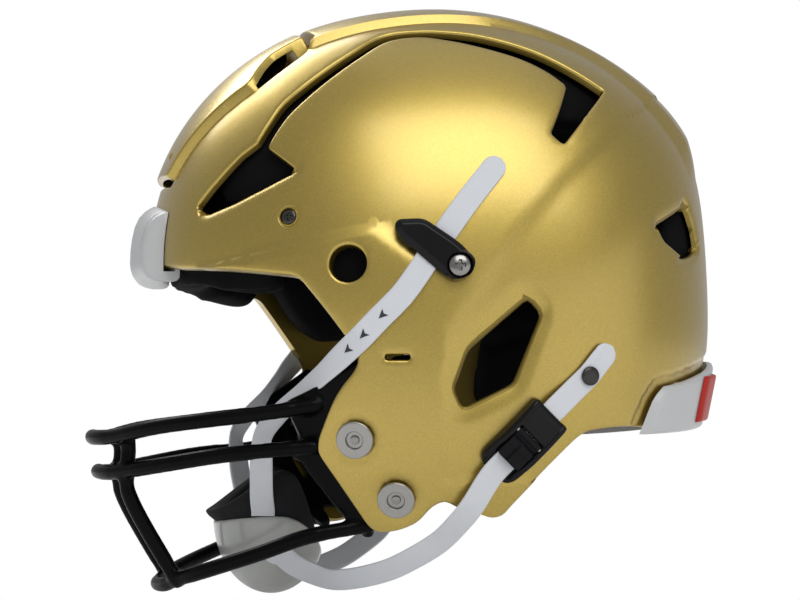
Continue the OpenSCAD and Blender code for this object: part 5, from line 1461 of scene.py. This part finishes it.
class HELMET_OT_buckles(bpy.types.Operator):
    """Strap clips, buckles and their levers"""
    bl_idname = "helmet.buckles"
    bl_label = "Clips and buckles"

    def execute(self, context):
        form = ShellForm(context.scene.helmet_sizes)
        for stem, mass, body, key in (("strap_clip", self.clip(form), HELMET, "plastic"),
                                      ("buckle", self.body(form), HELMET, "plastic"),
                                      ("buckle_lever", self.lever(form), None, "matt")):
            make_pair(stem, "moulded", mass, body, "black_plastic", FINISH[key], angle=40)
        return {"FINISHED"}

    def clip(self, form):
        """Bevelled plate with a round seat for its screw and a channel under it for the strap."""
        o, ax = form.seat(CLIP_MID)
        o = o + 0.7 * ax[2]
        so, screw = form.seat(CLIP_AT)
        co, along = form.seat(*CLIP_CHANNEL)
        at = lambda uv, z: o + uv[:, :1] * ax[0] + uv[:, 1:] * ax[1] + z * ax[2]

        def top(uv, edge):
            d = at(uv, 4) - so
            d = np.linalg.norm(d - (d @ screw[2])[:, None] * screw[2], axis=1)
            floor = (so + 4.15 * screw[2] - o) @ ax[2]
            z = CLIP_TOP - 1.5 * (1 - smooth_step(0.3, 3.4, edge)) - arc_round(edge, 1.5)
            boss = CLIP_TOP - arc_round(BOSS_RADIUS - d, 1.2)
            z = np.where(d < BOSS_RADIUS, np.maximum(z, boss), z)
            return z + (floor - z) * (1 - smooth_step(6.0, 6.35, d))

        def bottom(uv):
            across = np.abs((at(uv, 1.5) - co) @ along[1])
            return CHANNEL_TOP * (1 - smooth_step(CHANNEL_HALF, CHANNEL_HALF + 0.6, across))

        loop = spaced(eased(CLIP_LOOP, CLIP_ROUND), 0.45)
        return relief(Mass(), (o, ax), loop, 0.55, top, bottom)

    def body(self, form):
        """Tray with two rails, and a bar across the rails' upper end over the strap."""
        seat = form.seat(BUCKLE_AT, BUCKLE_TURN)
        l, w = BUCKLE_LONG / 2, BUCKLE_WIDE / 2
        x, z = np.array(RAIL_TOP).T
        high = lambda u: sum(np.interp(u + k, x, z) for k in (-1.5, -0.75, 0, 0.75, 1.5)) / 5

        def top(uv, edge):
            rail = high(uv[:, 0]) - arc_round(np.minimum(edge, np.abs(uv[:, 1]) - w + RAIL), 1.5)
            return np.where(np.abs(uv[:, 1]) > w - RAIL, np.maximum(rail, FLOOR_TOP),
                            FLOOR_TOP - arc_round(edge, 0.8))

        def bar_top(uv, edge):
            return np.minimum(high(uv[:, 0]) - 0.25, 8.0) - arc_round(edge, 1.2)

        tray = [(-l + 3.4, -w), (l, -w), (l, w), (-l + 3.4, w), (-l, w - 3.2), (-l, -w + 3.2)]
        bar = [(l - 15.2, -w + 2), (l - 0.3, -w + 2), (l - 0.3, w - 2), (l - 15.2, w - 2)]
        tray = spaced(eased(tray, [4, 1.5, 1.5, 4, 2, 2]), 0.5)
        m = relief(Mass(), seat, tray, 0.55, top, level_at(0.6))
        return relief(m, seat, spaced(eased(bar, 1.0), 0.5), 0.7, bar_top, level_at(5.1))

    def lever(self, form):
        """Flat plate with two grooves and a ridge, and a knuckle round the pin."""
        seat = form.seat(BUCKLE_AT, BUCKLE_TURN)
        w = BUCKLE_WIDE / 2 - RAIL - 0.4

        def top(uv, edge):
            x, y = uv.T
            ridge = 0.75 * smooth_step(-5.2, -4.4, x) * (1 - smooth_step(-1.6, -0.8, x))
            cross = np.maximum(abs(x + 0.2) - 0.35, 0) + np.maximum(abs(y) - w, 0)
            stem = np.where(x < -0.2, np.maximum(abs(y - 1.5) - 0.35, 0), 9)
            groove = 1 - smooth_step(0, 0.3, np.minimum(cross, stem))
            return LEVER_TOP + ridge * 0.9 - 0.9 * groove - arc_round(edge, 0.7)

        loop = spaced(eased([(-12, -w), (1.5, -w), (1.5, w), (-12, w)], [2.5, 0.3, 0.3, 2.5]), 0.4)
        m = relief(Mass(), seat, loop, 0.5, top, level_at(6.1))
        o, ax = seat
        hub = (o + PIN_AT[0] * ax[0] + PIN_AT[1] * ax[2], np.array([ax[2], ax[0], ax[1]]))
        r = PIN_D / 2
        knuckle = [(r + 0.06, -w), (r + 0.6, -w), (r + 0.75, -w + 0.15), (r + 0.75, w - 0.15),
                   (r + 0.6, w), (r + 0.06, w)]
        return lathe(m, hub, knuckle, 40, ring=True)


# ---------------------------------------------------------------- padding

# Cushions: grooves at side view angles, and at widths.
CUSHIONS = {"front_pad": ((), (22,)), "crown_pad": ((92,), (21,)), "crown_side_pad": ((84, 118), ()),
            "side_pad": ((100, 140), ()), "rear_side_pad": ((15, 35), ()), "back_pad": ((32, 48), (0,)),
            "neck_pad": ((), (0, 32)), "jaw_pad": ((), ()), "panel_pad": ((), (0,))}
PAIRED = ("crown_side_pad", "side_pad", "rear_side_pad", "jaw_pad")
SKIN_VOXEL, SKIN_INSET, OWN_INSET = 5.0, 1.6, {"panel_pad": 0.2, "jaw_pad": 3.2}
FILL_FRAMES, FILL_PRESSURE, FILL_REACH = 20, 4, 3
SEAM_DEPTH, SEAM_WIDTH, GROOVE_DEPTH, GROOVE_WIDTH = 1.3, 2.0, 2.6, 3.2


class HELMET_OT_padding(bpy.types.Operator):
    """Cushions of the lining, swollen like filled covers"""
    bl_idname = "helmet.padding"
    bl_label = "Padding"

    def execute(self, context):
        form = ShellForm(context.scene.helmet_sizes)
        blanks = {name: self.blank(name, name + "_l" if name in PAIRED else name) for name in CUSHIONS}
        self.swell(context.scene, blanks.values())
        for name, pad in blanks.items():
            self.stitch(form, pad, *CUSHIONS[name])
            mass = Mass().add(read_points(pad.data) / MM, [list(q.vertices) for q in pad.data.polygons])
            bpy.data.objects.remove(pad)
            body = "flex_panel" if name == "panel_pad" else HELMET
            for side, tag in SIDES if name in PAIRED else ((LEFT, ""),):
                tag = tag and "_" + tag
                piece = make_piece(f"{name}_cushion{tag}", mass, body, "black_padding",
                                   FINISH["padding"], (name + tag,), angle=180, side=side,
                                   recalc=False, levels=1)
        return {"FINISHED"}

    def blank(self, name, node):
        """Even skin round the cushion's solid, with eased corners and a little smaller."""
        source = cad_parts[node]
        mesh = source.data.copy()
        mesh.transform(source.matrix_world)
        mesh.materials.clear()
        merge_doubles(mesh)
        pad = put_object(name + "_blank", mesh)
        remeshed(pad, SKIN_VOXEL)
        v = averaged(pad.data, 4, lambda k: np.full(len(pad.data.vertices), 0.5))
        set_points(pad.data, v)
        inset = OWN_INSET.get(name, SKIN_INSET)
        set_points(pad.data, v - read_vectors(pad.data.vertices, "normal") * inset * MM)
        return pad

    def swell(self, scene, pads):
        """Fills every cover with air for a few frames; no point moves further than the reach."""
        before = [read_points(pad.data) for pad in pads]
        for pad in pads:
            cloth = pad.modifiers.new("filling", "CLOTH")
            cloth.settings.use_pressure = True
            cloth.settings.uniform_pressure_force = FILL_PRESSURE
            cloth.settings.effector_weights.gravity = 0
            cloth.point_cache.frame_start, cloth.point_cache.frame_end = 1, FILL_FRAMES
        for k in range(1, FILL_FRAMES + 1):
            scene.frame_set(k)
        graph = bpy.context.evaluated_depsgraph_get()
        after = [read_points(pad.evaluated_get(graph).data) for pad in pads]
        scene.frame_set(1)
        for pad, a, b in zip(pads, before, after):
            pad.modifiers.clear()
            move = b - a
            far = np.linalg.norm(move, axis=1, keepdims=True)
            set_points(pad.data, a + move * np.minimum(1, FILL_REACH * MM / np.maximum(far, 1e-9)))

    def stitch(self, form, pad, angles, widths):
        """One subdivision, then a seam round the side and grooves over the face."""
        subdivide(pad, 1)
        apply_modifiers(pad)
        p, n = read_points(pad.data) / MM, read_vectors(pad.data.vertices, "normal")
        depth = form.depth(p)
        t, r = form.ear_polar(p[:, [0, 2]])
        low, high = np.percentile(depth, [4, 96])
        facing = (n * unit(p - np.array([EAR_X, 0, EAR_Z]))).sum(1)
        side, face = 1 - np.abs(facing), smooth_step(0.2, 0.7, -facing)
        middle = 0.72 * high + 0.28 * low
        dip = SEAM_DEPTH * np.exp(-((depth - middle) / SEAM_WIDTH) ** 2) * smooth_step(0.3, 0.8, side)
        grooves = [np.radians(np.degrees(t) - a) * r for a in angles]
        for off in grooves + [np.abs(p[:, 1]) - w for w in widths]:
            dip = np.maximum(dip, GROOVE_DEPTH * face * np.exp(-(off / GROOVE_WIDTH) ** 2))
        set_points(pad.data, (p - n * dip[:, None]) * MM)


# ---------------------------------------------------------------- stage

STAGE_AT = Vector((-0.00307, 0, 0.1544))
# Lamps: azimuth from the left side towards the back, elevation, distance, size and power.
LAMPS = {"key": (10, 46, 2.2, 1.6, 1.3, 18.5), "front top": (-148, 48, 2.0, 1.15, 0.9, 15),
         "fill": (38, 2, 2.4, 2.6, 1.0, 5), "top": (100, 80, 2.4, 1.6, 1.6, 2)}
CAMERA, CAMERA_ANGLE, SENSOR = (-9.2, -3.0, 1.45), 16.63, 36
FLOOR_HALF, FLOOR_TONE, FLOOR_GLOW, WORLD_LIGHT = 6.0, 0.8, 0.22, 0.4


def stand(name, data, az, el, away):
    """Object on the line of an azimuth and elevation from the helmet's middle, looking back at it."""
    az, el = math.radians(az), math.radians(el)
    way = Vector((math.sin(az) * math.cos(el), -math.cos(az) * math.cos(el), math.sin(el)))
    ob = put_object(name, data)
    ob.location = STAGE_AT + way * away
    ob.rotation_euler = (-way).to_track_quat("-Z", "Y").to_euler()
    return ob


class HELMET_OT_stage(bpy.types.Operator):
    """Pale floor, soft studio lamps and the camera at the photograph's angle"""
    bl_idname = "helmet.stage"
    bl_label = "Stage"

    def execute(self, context):
        scene = context.scene
        scene.view_settings.view_transform = "Standard"
        self.floor()
        self.world(scene)
        for name, (az, el, away, width, height, power) in LAMPS.items():
            data = bpy.data.lights.new(name, "AREA")
            data.shape, data.size, data.size_y, data.energy = "RECTANGLE", width, height, power
            stand(name, data, az, el, away)
        data = bpy.data.cameras.new("view")
        data.sensor_width = SENSOR
        data.lens = SENSOR / 2 / math.tan(math.radians(CAMERA_ANGLE / 2))
        scene.camera = stand("view", data, *CAMERA)
        return {"FINISHED"}

    def floor(self):
        """White to the camera, and pale to the light that falls on it."""
        w = FLOOR_HALF
        mesh = bpy.data.meshes.new("floor")
        mesh.from_pydata([(-w, -w, 0), (w, -w, 0), (w, w, 0), (-w, w, 0)], [], [(0, 1, 2, 3)])
        m, n, l, b = new_material("pale floor")
        b.inputs["Base Color"].default_value = (FLOOR_TONE, FLOOR_TONE, FLOOR_TONE, 1)
        b.inputs["Roughness"].default_value = 0.9
        b.inputs["Emission Color"].default_value = (1, 1, 1, 1)
        b.inputs["Emission Strength"].default_value = FLOOR_GLOW
        path, glow, mix = (n.new("ShaderNode" + k) for k in ("LightPath", "Emission", "MixShader"))
        l.new(path.outputs["Is Camera Ray"], mix.inputs["Fac"])
        l.new(b.outputs["BSDF"], mix.inputs[1])
        l.new(glow.outputs["Emission"], mix.inputs[2])
        l.new(mix.outputs["Shader"], n["Material Output"].inputs["Surface"])
        mesh.materials.append(m)
        ob = put_object("floor", mesh)

    def world(self, scene):
        """White to the camera, and a soft light on the helmet."""
        world = bpy.data.worlds.new("studio")
        world.use_nodes = True
        n, l = world.node_tree.nodes, world.node_tree.links
        back = n["Background"]
        path, mix = n.new("ShaderNodeLightPath"), n.new("ShaderNodeMapRange")
        l.new(path.outputs["Is Camera Ray"], mix.inputs["Value"])
        mix.inputs["To Min"].default_value, mix.inputs["To Max"].default_value = WORLD_LIGHT, 1.0
        l.new(mix.outputs["Result"], back.inputs["Strength"])
        back.inputs["Color"].default_value = (1, 1, 1, 1)
        scene.world = world


class HELMET_PT_panel(bpy.types.Panel):
    """Sizes, colours and the pieces of the helmet"""
    bl_idname = "HELMET_PT_panel"
    bl_label = "Helmet"
    bl_space_type = "VIEW_3D"
    bl_region_type = "UI"
    bl_category = "Helmet"

    def draw(self, context):
        for group in (context.scene.helmet_sizes, context.scene.helmet_colours):
            box = self.layout.box()
            for key in group.__annotations__:
                box.prop(group, key)
        for op in OPERATORS:
            self.layout.operator(op.bl_idname)


OPERATORS = (HELMET_OT_shell, HELMET_OT_panel, HELMET_OT_bumpers, HELMET_OT_guard, HELMET_OT_cup,
             HELMET_OT_straps, HELMET_OT_fasteners, HELMET_OT_buckles, HELMET_OT_padding,
             HELMET_OT_stage)
CLASSES = (HelmetSizes, HelmetColours, *OPERATORS, HELMET_PT_panel)


def register():
    for c in CLASSES:
        bpy.utils.register_class(c)
    bpy.types.Scene.helmet_sizes = PointerProperty(type=HelmetSizes)
    bpy.types.Scene.helmet_colours = PointerProperty(type=HelmetColours)


def unregister():
    del bpy.types.Scene.helmet_sizes, bpy.types.Scene.helmet_colours
    for c in reversed(CLASSES):
        bpy.utils.unregister_class(c)


def main():
    register()
    make_finishes(bpy.context.scene.helmet_colours, bpy.context.scene.helmet_sizes)
    for op in OPERATORS:
        group, name = op.bl_idname.split(".")
        getattr(getattr(bpy.ops, group), name)()


if __name__ == "__main__":
    main()
